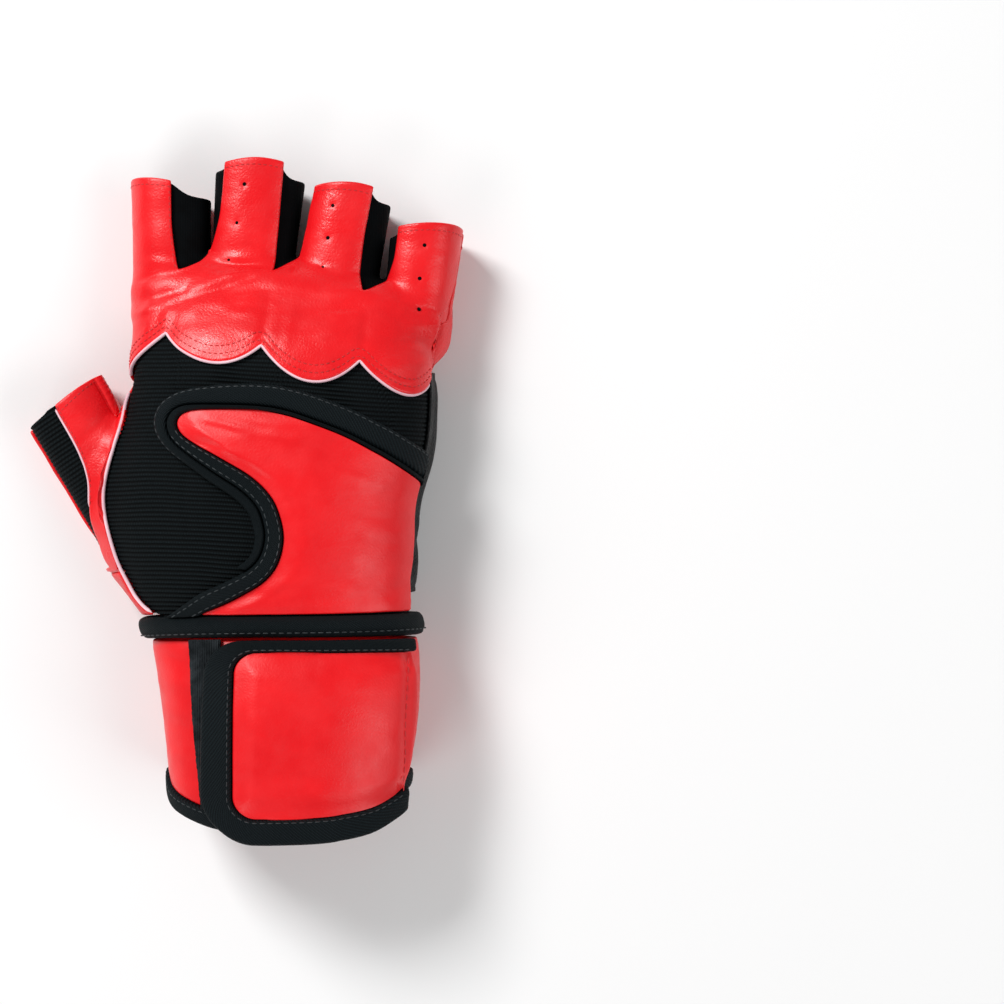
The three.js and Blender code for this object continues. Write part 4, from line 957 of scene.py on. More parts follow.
RED = leather("red_leather", (0.7, 0.004, 0.008), (0.82, 0.007, 0.011), 0.33, 0.55, 0.45, shine=0.42)
RED_PADDED = leather(
    "padded_red_leather", (0.72, 0.004, 0.008), (0.82, 0.008, 0.012), 0.38, 0.4, 0.36, shine=0.36
)
RED_GRAINED = leather(
    "grained_red_leather", (0.64, 0.003, 0.006), (0.82, 0.007, 0.011), 0.42, 1.0, 0.45, 0.00014, shine=0.36
)
BLACK_GRAIN = leather(
    "black_leather", (0.0012, 0.0014, 0.0016), (0.003, 0.0034, 0.0038), 0.45, 1.0, 0.8, 0.0002, shine=0.22
)
RAW = leather("raw_leather_edge", (0.72, 0.42, 0.48), (0.88, 0.62, 0.68), 0.8, 0.3, 0.5)
# The tapes' and the ribbed knit's colours run from painted shade in the weave's grooves and between the ribs
# to painted highlight on the ribs.
TAPE = woven("black_tape", (0.0004, 0.0009, 0.0012), (0.0042, 0.009, 0.0112), 0.7)
KNIT_BLACK = woven("black_knit", (0.0004, 0.0008, 0.001), (0.0075, 0.0135, 0.016), 0.85, 0.0003, RIBS)
GUSSET_BLACK = knitted("plain_knit", (0.0006, 0.001, 0.0012), (0.0016, 0.0026, 0.0032), 0.85, 0.00008)
PILE = knitted("loop_pile", (0.0008, 0.0015, 0.0018), (0.03, 0.036, 0.04), 0.95, 0.0007)
RED_THREAD = leather("red_thread", (0.42, 0.006, 0.008), (0.66, 0.02, 0.022), 0.6, 0.0, 0.5)
BLACK_THREAD = leather("black_thread", (0.008, 0.012, 0.014), (0.022, 0.03, 0.034), 0.55, 0.0, 0.5)


# Red leather over the knuckles and the four fingers. Each fold is a line in plan.
KNUCKLE_FOLDS = [
    (-34, 94, -5, 104, 1.1, -0.5), (-32, 97, -8, 106.5, 1.5, 0.4), (-28, 107, -19, 114, 1.6, 0.45),
    (-24, 106, -9, 107, 0.8, -0.35), (-22, 109, -8, 109, 0.7, 0.25), (-23, 103.5, -12, 104.5, 0.7, -0.3),
    (-44, 102, -38, 105, 0.8, -0.45), (-40, 82, -36, 94, 1.6, -0.35), (-46, 76, -40, 88, 1.8, 0.35),
    (38, 84, 50, 80, 1.2, -0.5), (36, 74, 48, 90, 2.2, 0.4), (-38, 90, -20, 95, 2.4, 0.3),
    (-47, 96, -27, 99, 1.6, -0.55), (-46, 92, -36, 94, 1.2, 0.35), (-45, 103, -27, 106, 1.8, -0.45),
    (-44, 109, -30, 107, 1.3, 0.3), (-22, 97, -2, 99, 1.8, -0.6), (-21, 102, -4, 104, 1.4, 0.4),
    (-20, 107, 0, 105, 1.5, -0.5), (-19, 112, -8, 113, 1.2, -0.3), (-18, 92, -6, 90, 1.4, 0.35),
    (-15, 86, -1, 84, 1.6, 0.3), (6, 92, 24, 94, 1.8, -0.55), (8, 97, 26, 98, 1.5, 0.35),
    (9, 102, 25, 104, 1.6, -0.45), (6, 84, 18, 86, 1.5, 0.3), (30, 83, 46, 85, 1.7, -0.55),
    (32, 88, 47, 90, 1.4, 0.35), (33, 94, 47, 93, 1.5, -0.4), (31, 77, 44, 78, 1.5, 0.3),
    (-34, 84, -30, 100, 1.4, -0.35), (-7, 82, -5, 96, 1.3, -0.4), (22, 80, 23, 92, 1.3, -0.4),
    (-44, 86, -38, 100, 1.5, 0.3), (-28, 84, -26, 96, 1.5, 0.25), (0, 80, 2, 94, 1.5, 0.25),
]


def vent_places():
    places = []
    for k, start, end, first, last in VENTS:
        f = FINGERS[k]
        t = np.array([0, 0.5, 1])
        y = mix(f["web"], f["rim"], mix(start, end, t))
        point, normal = leave(*finger_ray(f, y, mix(first, last, t)))
        places += list(zip(point, normal))
    return places


VENT_PLACES = vent_places()


def leather_relief(point, amount=1.0, seed=0.0):
    wide = waves(point * [1, 1.5, 1], 9, seed) * 0.22
    return amount * (wide + waves(point * [0.8, 1.7, 1], 3.6, seed + 5) * 0.11)


def knuckle_height(point, edge):
    """Above the form: folds and swellings, pits round the vents, and two shallow grooves along the stitch
    lines above the scalloped edge.
    """
    height = SKIN[1] + leather_relief(point, 1.0) + folds(point, KNUCKLE_FOLDS)
    for place, _ in VENT_PLACES:
        d = np.linalg.norm(point - place, axis=1)
        height -= 0.55 * np.exp(-((d / 0.75) ** 2))
    stitch_line = np.exp(-(((edge - 2.2) / 0.55) ** 2)) + np.exp(-(((edge - 4.4) / 0.5) ** 2))
    return height - 0.16 * stitch_line


def knuckle_leather():
    piece = Piece()
    for strip, f in enumerate(FINGERS):
        columns = 30 if strip == 0 else 24

        def place(u, v, strip=strip):
            v2 = np.where(v > 0.5, 1 + even(v * 2 - 1), v * 2)
            point, normal = knuckle_site(strip, u, v2)
            edge = np.where(v < 0.5, point[:, 1] - scallop(strip, u), 99)
            return to_frame(point, normal, knuckle_height(point, edge))

        piece.grid(columns, 60, place)
    return piece.finish(
        "knuckle_panel", [RED], ["knuckle_leather"], LEATHER_WALL,
        smooth_levels=1, merge=3e-5,
    )


# Creases in the palm leather, in plan, across the finger bases and round the thumb.
PALM_FOLDS = [
    (-46, 97, -24, 99, 1.6, -0.5), (-44, 91, -24, 92, 1.5, 0.35), (-22, 96, 0, 98, 1.7, -0.55),
    (-20, 103, 0, 104, 1.4, -0.4), (4, 95, 26, 94, 1.7, -0.55), (5, 101, 25, 101, 1.4, -0.35),
    (28, 89, 48, 87, 1.7, -0.5), (-40, 84, -18, 82, 1.5, -0.3), (-10, 84, 14, 83, 1.5, 0.3),
    (18, 80, 40, 77, 1.5, -0.3), (-50, 66, -44, 84, 1.6, 0.3), (-48, 12, -22, 16, 2, 0.3),
    (-46, 22, -30, 32, 2, -0.35),
]


def palm_leather():
    piece = Piece()
    spots = [(2, lambda v: v), (11, lambda v: 1 + v), (9, lambda v: 2 + v), (14, lambda v: 3 + even(v))]

    def place(u, v, strip, share):
        point, normal = palm_site(strip, u, v, share)
        height = SKIN[1] + leather_relief(point, 0.8, 3.0) + folds(point, PALM_FOLDS)
        return to_frame(point, normal, height)

    for strip in range(4):
        columns = 9 if strip == 0 else 12
        for band, (rows, level) in enumerate(spots):
            inner = (lambda u, y: mix(palm_split(y), 1, u)) if strip == 0 else (lambda u, y: u)
            piece.grid(columns, rows * 2, lambda u, v: place(u, level(v), strip, inner))
            if strip == 0 and band != 1:
                outer = lambda u, y: palm_split(y) * u
                piece.grid(12, rows * 2, lambda u, v: place(u, level(v), 0, outer))
    return piece.finish(
        "palm_panel", [RED_GRAINED], ["palm_leather"], LEATHER_WALL,
        smooth_levels=1, merge=3e-5,
    )


def little_side():
    """The seam allowance under the little finger's side seam, which closes the gap between the panels."""
    piece = Piece()

    def place(u, v):
        one = np.ones(len(v))
        out = even(np.clip((v - 0.25) / 0.75, 0, 1) * 0.93)
        back = knuckle_site(3, one, np.where(v < 0.25, 0.6 + v * 1.6, 1 + out))[0]
        palm = palm_site(3, one, np.where(v < 0.25, 2.6 + v * 1.6, 3 + out), lambda u, y: u)[0]
        gap = back - palm
        wide = 1.6 / np.maximum(np.linalg.norm(gap, axis=1), 0.4)
        point, normal = settle(palm + gap * mix(-wide, 1 + wide, u)[:, None])
        return to_frame(point, normal, SKIN[0] + 0.75)

    piece.grid(10, 60, place)
    return piece.finish("little_side_allowance", [RED], wall=0.6, merge=1e-6)


def thumb_root_allowance():
    """The seam allowance under the seam round the root of the thumb."""
    piece = Piece()

    def place(u, v):
        ring = opening_site(u)[0]
        station = np.full(len(u), 0.07)
        gap = ring - thumb_site(station, u, thumb_angle(station, u))[0]
        long = np.maximum(np.linalg.norm(gap, axis=1), 0.3)
        point, normal = settle(ring + gap * mix(-1.2 / long, 1.1 / long, v)[:, None])
        return to_frame(point, normal, SKIN[0] + 0.7)

    piece.grid(150, 5, place)
    return piece.finish("thumb_root_allowance", [RED], wall=0.5, merge=1e-6)


# Creases across the back of the thumb, in plan.
THUMB_FOLDS = [
    (-60, 44, -50, 60, 2.2, 0.35), (-58, 52, -48, 48, 1.5, -0.5), (-56, 60, -48, 56, 1.4, -0.4),
    (-62, 54, -52, 66, 1.6, -0.35), (-64, 36, -54, 30, 1.8, 0.4), (-66, 42, -56, 40, 1.4, -0.4),
    (-62, 28, -52, 24, 1.5, -0.35), (-60, 70, -52, 66, 1.3, -0.3),
]


def thumb_leather():
    piece = Piece()

    def place(way, station):
        point, normal = thumb_site(station, way, thumb_angle(station, way))
        return to_frame(point, normal, SKIN[1] + leather_relief(point, 1.0, 8.0) + folds(point, THUMB_FOLDS))

    k, (first, last) = THUMB_KNIT_START, KNIT_WAY
    for ways, columns in (((0, first), 24), ((last, 1), 44)):
        piece.grid(columns, 8, lambda u, v: place(mix(*ways, u), v * k))
        piece.grid(columns, 34, lambda u, v: place(mix(*ways, u), mix(k, 1, v)))
    piece.grid(8, 8, lambda u, v: place(mix(first, last, u), v * k))
    return piece.finish(
        "thumb_panel", [RED], ["thumb_leather"], LEATHER_WALL,
        smooth_levels=1, merge=3e-5,
    )


def rounded(shoulder, rise, corner=0.16):
    """How far a tape's face stands up at a share of the way across it."""
    side = np.minimum(shoulder, 1 - shoulder)
    t = np.clip(side / corner, 0, 1)
    return rise * np.sqrt(np.maximum(1 - (1 - t) ** 2, 0))


def band(columns, rows, place, length, width, name, layer, materials, slot_name, nodes, rise):
    """A closed tape: place gives sites for the way along and the way across."""
    piece = Piece()
    low, top = layer

    def face(u, v):
        point, normal = place(u, v)
        return to_frame(point, normal, top + rise(u, v, point))

    def under(u, v):
        return to_frame(*place(u, v), low)

    def wall(side, is_end):
        def stand(u, v):
            fixed = np.full(len(u), float(side))
            at = (fixed, u) if is_end else (u, fixed)
            point, normal = place(*at)
            return to_frame(point, normal, mix(low, top + rise(*at, point), v))

        return stand

    piece.grid(columns, rows, face, (length, width))
    piece.grid(columns, rows, under, (length, width))
    for side in (0, 1):
        piece.grid(columns, 2, wall(side, False), (length, 1))
        piece.grid(rows, 2, wall(side, True), (width, 1))
    return piece.finish(name, materials, nodes, merge=3e-6)


def wrist_binding():
    """A soft round roll of twill tape, drawn in over the crease at the wrist."""
    piece = Piece()
    count, around = 260, 22

    def place(u, v):
        angle = 2 * math.pi * v
        half = ROLL_WIDTH / 2
        y = half * np.sign(np.cos(angle)) * np.abs(np.cos(angle)) ** 0.85
        point, normal = on_hand(y, u)
        middle = (SKIN[1] + ROLL_RISE + BASE[0]) / 2
        lumps = waves(point, 11, 61.0) * 0.28 + waves(point * [1, 0.4, 1], 4.5, 64.0) * 0.16
        squash = np.sign(np.sin(angle)) * np.abs(np.sin(angle)) ** 0.8
        height = middle + (SKIN[1] + ROLL_RISE - 0.3 - middle) * squash + lumps * np.maximum(np.sin(angle), 0)
        line = np.exp(-(((angle - 2.35) / 0.14) ** 2))
        return to_frame(point, normal, height - 0.35 * line)

    piece.grid(count, around, place, (250, 24))
    return piece.finish("wrist_roll", [TAPE], ["wrist_binding"], merge=1e-5)


def back_knit():
    piece = Piece()

    def place(u, v):
        share = np.clip(u, 0, 1)
        y = mix(HAND_START - KNIT_TUCK, scallop_level(share) + LAP, v)
        right = PALM_SIDE.read(y / HAND_LENGTH, "girth") - 0.01
        left = BACK_EDGE.read(y / HAND_LENGTH, "girth") + 0.006
        point, normal = on_hand(y, mix(left, right, u))
        bowed = point[:, 1] + 2.2 * np.sin(point[:, 0] / 26) + waves(point, 14, 2.0) * 0.35
        rib = np.abs(np.sin(bowed * math.pi / RIB_PITCH))
        lump = waves(point * [1, 2, 1], 7, 4.0) * 0.16
        places = to_frame(point, normal, BASE[1] - 0.42 + 0.5 * rib + lump)
        return places, np.stack([point[:, 0], bowed / RIB_PITCH], 1)

    piece.grid(86, 300, place)
    return piece.finish(
        "back_ribs", [KNIT_BLACK], ["back_knit"], 0.75, merge=1e-5
    )


def thumb_knit():
    piece = Piece()
    first, last = KNIT_WAY

    def place(u, v):
        way = mix(first - KNIT_WAY_LAP, last + KNIT_WAY_LAP, u)
        station = mix(THUMB_KNIT_START - 0.03, 1, v)
        point, normal = thumb_site(station, way, thumb_angle(station, way))
        along = (point - THUMB_ROOT) @ THUMB_AXIS
        rib = np.abs(np.sin(along * math.pi / RIB_PITCH))
        hidden = smooth(0.12, 0.0, u) + smooth(0.88, 1.0, u) + smooth(0.05, 0, v)
        places = to_frame(point, normal, BASE[1] - 0.35 + 0.35 * rib - LAP_SINK * 0.6 * hidden)
        return places, np.stack([u * 16, along / RIB_PITCH], 1)

    piece.grid(26, 150, place)
    return piece.finish("thumb_ribs", [KNIT_BLACK], ["thumb_knit"], 0.7, merge=1e-5)


def thumb_seam():
    """The turned, rolled seam down the inside of the thumb."""

    def place(u, v):
        station = mix(0.14, 0.975, u)
        point, normal = thumb_site(station, np.zeros(len(u)), np.full(len(u), float(THUMB_SEAM)))
        side = np.cross(THUMB_AXIS, normal)
        side /= np.linalg.norm(side, axis=1, keepdims=True)
        return settle(point + side * ((v - 0.5) * 3.4 * mix(0.4, 1, smooth(0, 0.5, u)))[:, None])

    def rise(u, v, point):
        puckers = 1 - 0.05 * np.sin(u * 60)
        return rounded(v, 1.4, 0.5) * puckers * smooth(0, 0.5, u) - 0.3

    return band(
        36, 12, place, 14, 3.4, "thumb_rolled_seam", (SKIN[1] + 0.3, SKIN[1] + 0.5), [RED], "red_leather",
        ["thumb_seam"], rise,
    )


def gusset_sites(strip, out, round_rows):
    """Columns of sites down one finger's side, round the crotch and up the next finger's side."""
    crotch = WEBS.values[strip + 1, 0] * HAND_LENGTH
    k = np.arange(1, round_rows)
    levels = np.arange(out + 1) / out

    def side(n, v):
        near = n == strip
        f = FINGERS[n]
        v = np.array([v])
        u = np.array([0.95 if near else 0.05])
        top = knuckle_site(n, u, v + 1)
        y_web = mix(web(n, "palm"), web(n + 1, "palm"), u) * HAND_LENGTH
        rim = f["rim"] - mix(f["dip"][0], f["dip"][1], u)
        angle = mix(f["palm"][0], f["palm"][1], u)
        bottom = on_finger(f, y_web, palm_girth(n, u, y_web), rim, angle, v)
        level = mix(crotch + 2, f["rim"] - f["dip"][1 if near else 0], v)
        to_end = np.abs(1 - 2 * k / round_rows)
        end = np.where((k < round_rows / 2)[:, None], top[0], bottom[0])
        reach = np.abs(end[:, 0] - finger_middle(f, end[:, 1]))
        tilt = np.arctan2(end[:, 2] - f["mid"], reach) * to_end
        y = mix(level, end[:, 1], to_end**6)
        direction = np.stack([np.cos(tilt) * (1 if near else -1), 0 * tilt, np.sin(tilt)], 1)
        origin = np.stack([finger_middle(f, y), y, np.full(len(y), f["mid"])], 1)
        point, normal = leave(origin, direction)
        return (
            np.concatenate([top[0], point, bottom[0]]),
            np.concatenate([top[1], normal, bottom[1]]),
        )

    columns = [side(strip, v) for v in levels[::-1]]
    far = [side(strip + 1, v) for v in levels]
    tilts = np.radians(np.linspace(55, -55, round_rows - 1))
    gap = WEBS.at[strip + 1] * PALM_WIDTH
    centre = np.array([gap, crotch - WEB_PULL, FINGERS[strip]["mid"]])
    point, normal = leave(
        np.tile(centre, (len(tilts), 1)), np.stack([0 * tilts, np.cos(tilts), np.sin(tilts)], 1)
    )
    one = np.array([1.0])
    y = np.array([web(strip + 1, "back") * HAND_LENGTH - 2])
    first = on_hand(y, back_girth(strip, one, y))
    y = np.array([web(strip + 1, "palm") * HAND_LENGTH - 2])
    last = on_hand(y, palm_girth(strip, one, y))
    turn = (np.concatenate([first[0], point, last[0]]), np.concatenate([first[1], normal, last[1]]))
    between = lambda a, b, t: settle(mix(a[0], b[0], t))
    joined = columns + [between(columns[-1], turn, t) for t in (0.25, 0.5, 0.75)] + [turn]
    joined += [between(turn, far[0], t) for t in (0.25, 0.5, 0.75)] + far
    return np.stack([c[0] for c in joined]), np.stack([c[1] for c in joined])


def gusset(strip, name):
    out, rows = 14, 14
    points, normals = gusset_sites(strip, out, rows)
    count = len(points) - 1
    piece = Piece()

    def place(u, v):
        i, j = np.rint(u * count).astype(int), np.rint(v * rows).astype(int)
        end = np.minimum(j, rows - j)
        rise = np.where(end == 0, GUSSET_EDGE_RISE, np.where(end == 1, GUSSET_EDGE_RISE / 2, 0))
        return to_frame(points[i, j], normals[i, j], BASE[1] + rise)

    piece.grid(count, rows, place)
    return piece.finish(
        name + "_cloth", [GUSSET_BLACK], [name], 0.9, smooth_levels=1, merge=1e-6
    )


def patch_plan(u, v):
    y = mix(PATCH_LOW.read(u, "low"), PATCH_TOP.read(u, "high"), v) * HAND_LENGTH
    left = PATCH_SIDE.read(y / HAND_LENGTH, "girth")
    return y, mix(left, PATCH_RIGHT, u)


def palm_patch():
    piece = Piece()

    def place(u, v):
        y, girth = patch_plan(u, v)
        point, normal = on_hand(y, girth)
        slant = u + 0.35 * v - 0.15
        pressed = np.zeros(len(u))
        for c in CHANNELS:
            pressed = np.maximum(pressed, np.exp(-(((slant - c) / 0.018) ** 2)))
        edge = np.minimum(np.minimum(u * 85, (1 - u) * 85), np.minimum(v * 65, (1 - v) * 65))
        hem = np.exp(-(((edge - 2) / 0.5) ** 2))
        crown = 0.45 * smooth(0, 7, edge)
        low = smooth(0.9, 0.95, u) * 2.1
        relief = leather_relief(point, 0.35, 11.0)
        return to_frame(point, normal, PATCH[1] - 0.25 + crown - 0.85 * pressed - 0.35 * hem + relief - low)

    piece.grid(110, 86, place)
    made = piece.finish(
        "quilted_patch", [BLACK_GRAIN], ["palm_patch"], 1.1, smooth_levels=1, merge=1e-6
    )
    return made


# Creases on the flap, in plan: mostly at the tip and along the inside of its edge.
FLAP_FOLDS = [
    (-27, 60, -12, 56, 1.3, -0.35), (-24, 57, -14, 50, 1.2, 0.3), (-20, 61, -6, 58, 1.2, -0.3),
    (-26, 54, -16, 52, 1.1, -0.3), (-12, 48, -4, 42, 1.3, -0.3), (-6, 56, 6, 54, 1.4, 0.3),
    (0, 40, 6, 30, 1.4, -0.25), (6, 14, 22, 10, 2.2, 0.3), (12, 46, 26, 42, 1.8, 0.25),
    (-14, 9, 2, 11, 1.6, -0.3), (28, 10, 38, 18, 2.0, -0.3), (20, 30, 34, 26, 2.6, 0.25),
]


def back_flap():
    piece = Piece()

    def place(u, v):
        point, normal = flap_site(u, v)
        edge = np.minimum(u, 1 - u * 0.35) * 30
        near = np.minimum(edge, (1 - v) * 60)
        height = FLAP[1] - 0.5 + 0.9 * smooth(0, 5, near) - 0.3 * smooth(0.05, 0, v)
        height = height + folds(point, FLAP_FOLDS) + leather_relief(point, 0.5, 21.0)
        return to_frame(point, normal, height)

    piece.grid(84, 90, place)
    made = piece.finish(
        "padded_flap", [RED_PADDED], ["back_flap"], 2.3, smooth_levels=1, merge=1e-5
    )
    return made


def band_edge(way, name):
    return FLAP_BANDS.read(way, name) * FLAP_BAND


def stitch_groove(shoulder, *lines):
    """The dent that a line of stitches pulls into a tape."""
    return sum(-0.18 * np.exp(-(((shoulder - s) / 0.06) ** 2)) for s in lines)


def flap_inner_tape():
    def place(u, v):
        far = band_edge(u, "inner")
        return flap_edge_site(u, mix(np.full(len(u), 0.25), far, v))

    def rise(u, v, point):
        groove = stitch_groove(v, 0.2, 0.8) * (band_edge(u, "inner") > 3)
        return rounded(v, TAPE_RISE + 0.35, 0.3) - 0.3 + groove

    return band(
        300, 14, place, 170, 5.4, "inner_flap_binding", FLAP, [TAPE], "black_tape",
        ["flap_inner_tape"], rise,
    )


def flap_outer_tape():
    def place(u, v):
        way = mix(FLAP_OUTER_START, 1, u)
        near = band_edge(way, "inner") + SEAM * 0.7
        far = band_edge(way, "outer") + SEAM + 0.2
        return flap_edge_site(way, mix(near, far, v))

    def rise(u, v, point):
        way = mix(FLAP_OUTER_START, 1, u)
        wide = smooth(0.48, 0.62, way)
        crown = 0.25 * (1 - wide) * np.sin(math.pi * v)
        return rounded(v, 1.15, 0.32) - 0.5 + wide * stitch_groove(v, 0.86) + crown

    return band(
        280, 14, place, 150, 5.2, "outer_flap_binding", FLAP, [TAPE], "black_tape",
        ["flap_outer_tape"], rise,
    )


CUFF_TOP = -ROLL_WIDTH / 2 - SEAM


CUFF_FOLDS = [
    (-36, -8, -26, -12, 1.6, -0.35), (-35, -16, -24, -18, 1.6, 0.3), (-34, -28, -26, -30, 1.6, -0.25),
    (-33, -38, -24, -36, 1.4, 0.25), (-10, -16, 14, -20, 2.2, -0.3), (-20, -34, 12, -30, 2.2, 0.25),
]


def cuff():
    piece = Piece()

    def place(u, v):
        level = mix(CUFF_TOP, hem_level(u) + SEAM * 0.5, v)
        point, normal = on_hand(level, u)
        crease = folds(point, CUFF_FOLDS)
        roll = 0.25 * np.sin(math.pi * v) - 0.25 * smooth(0.93, 1, v) - 0.3 * smooth(0.06, 0, v)
        return to_frame(point, normal, CUFF[1] - 0.1 + roll + crease + leather_relief(point, 0.7, 31.0))

    piece.grid(210, 44, place)
    made = piece.finish(
        "padded_cuff", [RED_PADDED], ["cuff"], 2.2, smooth_levels=1, merge=1e-5
    )
    return made


def hem_binding():
    def place(u, v):
        return on_hand(hem_level(u) - v * HEM_WIDTH, u)

    def rise(u, v, point):
        hidden = (smooth(0.01, 0.04, u) - smooth(0.31, 0.34, u)) * 0.9
        return rounded(v, HEM_RISE, 0.3) * (1 - hidden) + stitch_groove(v, 0.22) * (1 - hidden)

    return band(
        260, 12, place, 240, 5, "hem_twill", CUFF, [TAPE], "black_tape", ["hem_binding"], rise
    )


def loop_tape_plan(u, v):
    x = mix(mix(LOOP_LEFT[0], LOOP_LEFT[1], v), LOOP_RIGHT, u) * PALM_WIDTH
    low = hem_level(girth_at(np.full(len(u), -0.7 * CUFF_LENGTH), x)) + SEAM
    y = mix(low, CUFF_TOP, v)
    return on_hand(y, girth_at(y, x))


def loop_tape():
    def rise(u, v, point):
        pile = waves(point, 0.9, 41.0) * 0.28 + waves(point, 2.6, 44.0) * 0.2
        return rounded(u, 0.35, 0.12) + pile

    return band(
        26, 120, loop_tape_plan, 10, 50, "loop_pile_tape", LOOP, [PILE], "loop_pile", ["loop_tape"], rise
    )


STRAP_FOLDS = [
    (-6, -16, 12, -18, 2.6, 0.3), (-4, -42, 16, -46, 2.4, -0.3), (10, -12, 30, -16, 2.2, -0.25),
    (24, -30, 34, -40, 2.4, 0.25), (-9, -24, -2, -38, 2.2, 0.25),
]


def strap_seam_x(y):
    """Where the strap's seam runs, from the hem up to the roll."""
    return np.interp(y, [-0.79 * CUFF_LENGTH, -STRAP_TOP * CUFF_LENGTH], STRAP_SEAM)


def strap():
    piece = Piece()

    def place(u, v):
        point, normal = strap_site(u, v, 0.0, 0.0)
        t = (1 - np.cos(math.pi * v)) / 2
        edge = np.minimum(u * 45, np.minimum(t, 1 - t) * 44)
        seam = np.exp(-(((point[:, 0] - strap_seam_x(point[:, 1])) / 0.9) ** 2))
        height = STRAP[1] - 0.5 + 1.2 * smooth(0, 7, edge) - 0.5 * seam
        return to_frame(point, normal, height + folds(point, STRAP_FOLDS) + leather_relief(point, 0.45, 51.0))

    piece.grid(70, 70, place)
    made = piece.finish(
        "padded_strap", [RED_PADDED], ["strap"], 2.3, smooth_levels=1, merge=1e-6
    )
    return made


def strap_edge_site(w, margin, top_margin):
    """Round the strap's free edge: along the hem, up the end and along the top."""
    low, high = 8 / 30, 22 / 30
    u = np.where(w < low, 1 - w / low, np.where(w > high, (w - high) / (1 - high), 0))
    v = np.where(w < low, 0, np.where(w > high, 1, (w - low) / (high - low)))
    return strap_site(u, v, margin, top_margin)


def strap_binding():
    def place(u, v):
        margin = SEAM * 0.5 + v * STRAP_TAPE_WIDTH
        top_margin = SEAM * 0.5 + v * STRAP_TAPE_WIDTH * STRAP_TOP_TAPE
        return strap_edge_site(u, margin, top_margin)

    def rise(u, v, point):
        return rounded(v, TAPE_RISE + 0.35, 0.22) - 0.3 + stitch_groove(v, 0.14)

    return band(
        260, 14, place, 150, 7.2, "strap_twill", STRAP, [TAPE], "black_tape", ["strap_binding"], rise
    )


# Stitches: small rounded lengths of thread, each sunk a little into the leather. Each kind has the
# length of a stitch, the gap to the next and the thread's width, in millimetres.
KNUCKLE_STITCH = (1.2, 0.5, 0.38)
PALM_STITCH = (2.6, 1.0, 0.6)
TAPE_STITCH = (1.7, 0.6, 0.4)
STRAP_STITCH = (2, 0.7, 0.45)
PATCH_STITCH = (2.2, 0.9, 0.4)
PALM_ARC_SAGS = (9.5, 11, 13)
PALM_ARC_START = (-0.44, 0.97)


def stitch_line(bm, sites, length, gap, width, height):
    points, normals = sites
    places = (points + normals * np.broadcast_to(height, len(points))[:, None] + SHIFT) / 1000
    steps = np.concatenate([[0], np.cumsum(np.linalg.norm(np.diff(places, axis=0), axis=1))]) * 1000
    at = np.arange(length / 2, steps[-1], length + gap)
    for s in at:
        middle = Vector([np.interp(s, steps, places[:, k]) for k in range(3)])
        ahead = Vector([np.interp(s + length / 2, steps, places[:, k]) for k in range(3)])
        behind = Vector([np.interp(s - length / 2, steps, places[:, k]) for k in range(3)])
        up = Vector([np.interp(s, steps, normals[:, k]) for k in range(3)]).normalized()
        along = (ahead - behind).normalized()
        side = along.cross(up).normalized()
        up = side.cross(along)
        turn = Matrix((along, side, up)).transposed().to_4x4()
        size = Matrix.Diagonal((length / 1000, width / 1000, width * 0.8 / 1000, 1))
        bmesh.ops.create_uvsphere(
            bm, u_segments=6, v_segments=5, radius=0.5,
            matrix=Matrix.Translation(middle) @ turn @ size @ Matrix.Rotation(math.pi / 2, 4, "Y"),
        )


def stitches(name, node_slot, material, lines, length, gap, width):
    bm = bmesh.new()
    for sites, height in lines:
        stitch_line(bm, sites, length, gap, width, height)
    for face in bm.faces:
        face.smooth = True
    return put(bm, name, [material])


def scallop_line(away):
    """Sites that run along the scalloped edge, some way up from it."""
    share = np.linspace(0.035, 0.985, 220)
    strip = np.minimum(np.floor(share * 4), 3).astype(int)
    y = scallop_level(share)
    if away > 1:
        y = sum(scallop_level(np.clip(share + s, 0, 1)) for s in np.linspace(-0.022, 0.022, 9)) / 9
    y = y + away
    girth = np.empty(len(share))
    for k in range(4):
        m = strip == k
        girth[m] = back_girth(k, share[m] * 4 - k, y[m])
    return on_hand(y, girth)


def knuckle_lift(site):
    return SKIN[1] + leather_relief(site[0]) + folds(site[0], KNUCKLE_FOLDS)


def back_rim(k, away):
    f = FINGERS[k]
    u = np.linspace(0.03, 0.97, 60)
    span = f["rim"] - web(k, "back") * HAND_LENGTH
    return knuckle_site(k, u, np.full(len(u), 2 - away / span))


def palm_rim(k, away):
    f = FINGERS[k]
    u = np.linspace(0.03, 0.97, 60)
    span = f["rim"] - web(k, "palm") * HAND_LENGTH
    return palm_site(k, u, np.full(len(u), 4 - away / span), lambda u, y: u)


def thumb_ring(away, ways):
    way = np.linspace(*ways, 90)
    station = np.full(len(way), 1 - away / (THUMB_LENGTH * 0.9))
    return thumb_site(station, way, thumb_angle(station, way))


def thumb_knit_edge(way, away):
    station = np.linspace(0.46, 0.975, 70)
    ways = np.full(len(station), way + away)
    return thumb_site(station, ways, thumb_angle(station, ways))


def knuckle_stitches():
    lines = [(s, knuckle_lift(s) - 0.02) for s in (scallop_line(2.2), scallop_line(4.4))]
    lines += [(s, knuckle_lift(s)) for s in [back_rim(k, 2.2) for k in range(4)]]
    v = 1 + even(np.linspace(0.06, 0.96, 90))
    for k in (0, 1, 2):
        side = knuckle_site(k, np.full(len(v), 0.972), v)
        lines.append((side, knuckle_lift(side) - 0.05))
    thumb = thumb_ring(2.4, (0.02, KNIT_WAY[0] - 0.01))
    lines.append((thumb, SKIN[1] + leather_relief(thumb[0], 1, 8.0)))
    edge = thumb_knit_edge(KNIT_WAY[0], -0.012)
    lines.append((edge, SKIN[1] + leather_relief(edge[0], 1, 8.0) + folds(edge[0], THUMB_FOLDS)))
    return stitches("knuckle_stitches", "red_leather", RED_THREAD, lines, *KNUCKLE_STITCH)


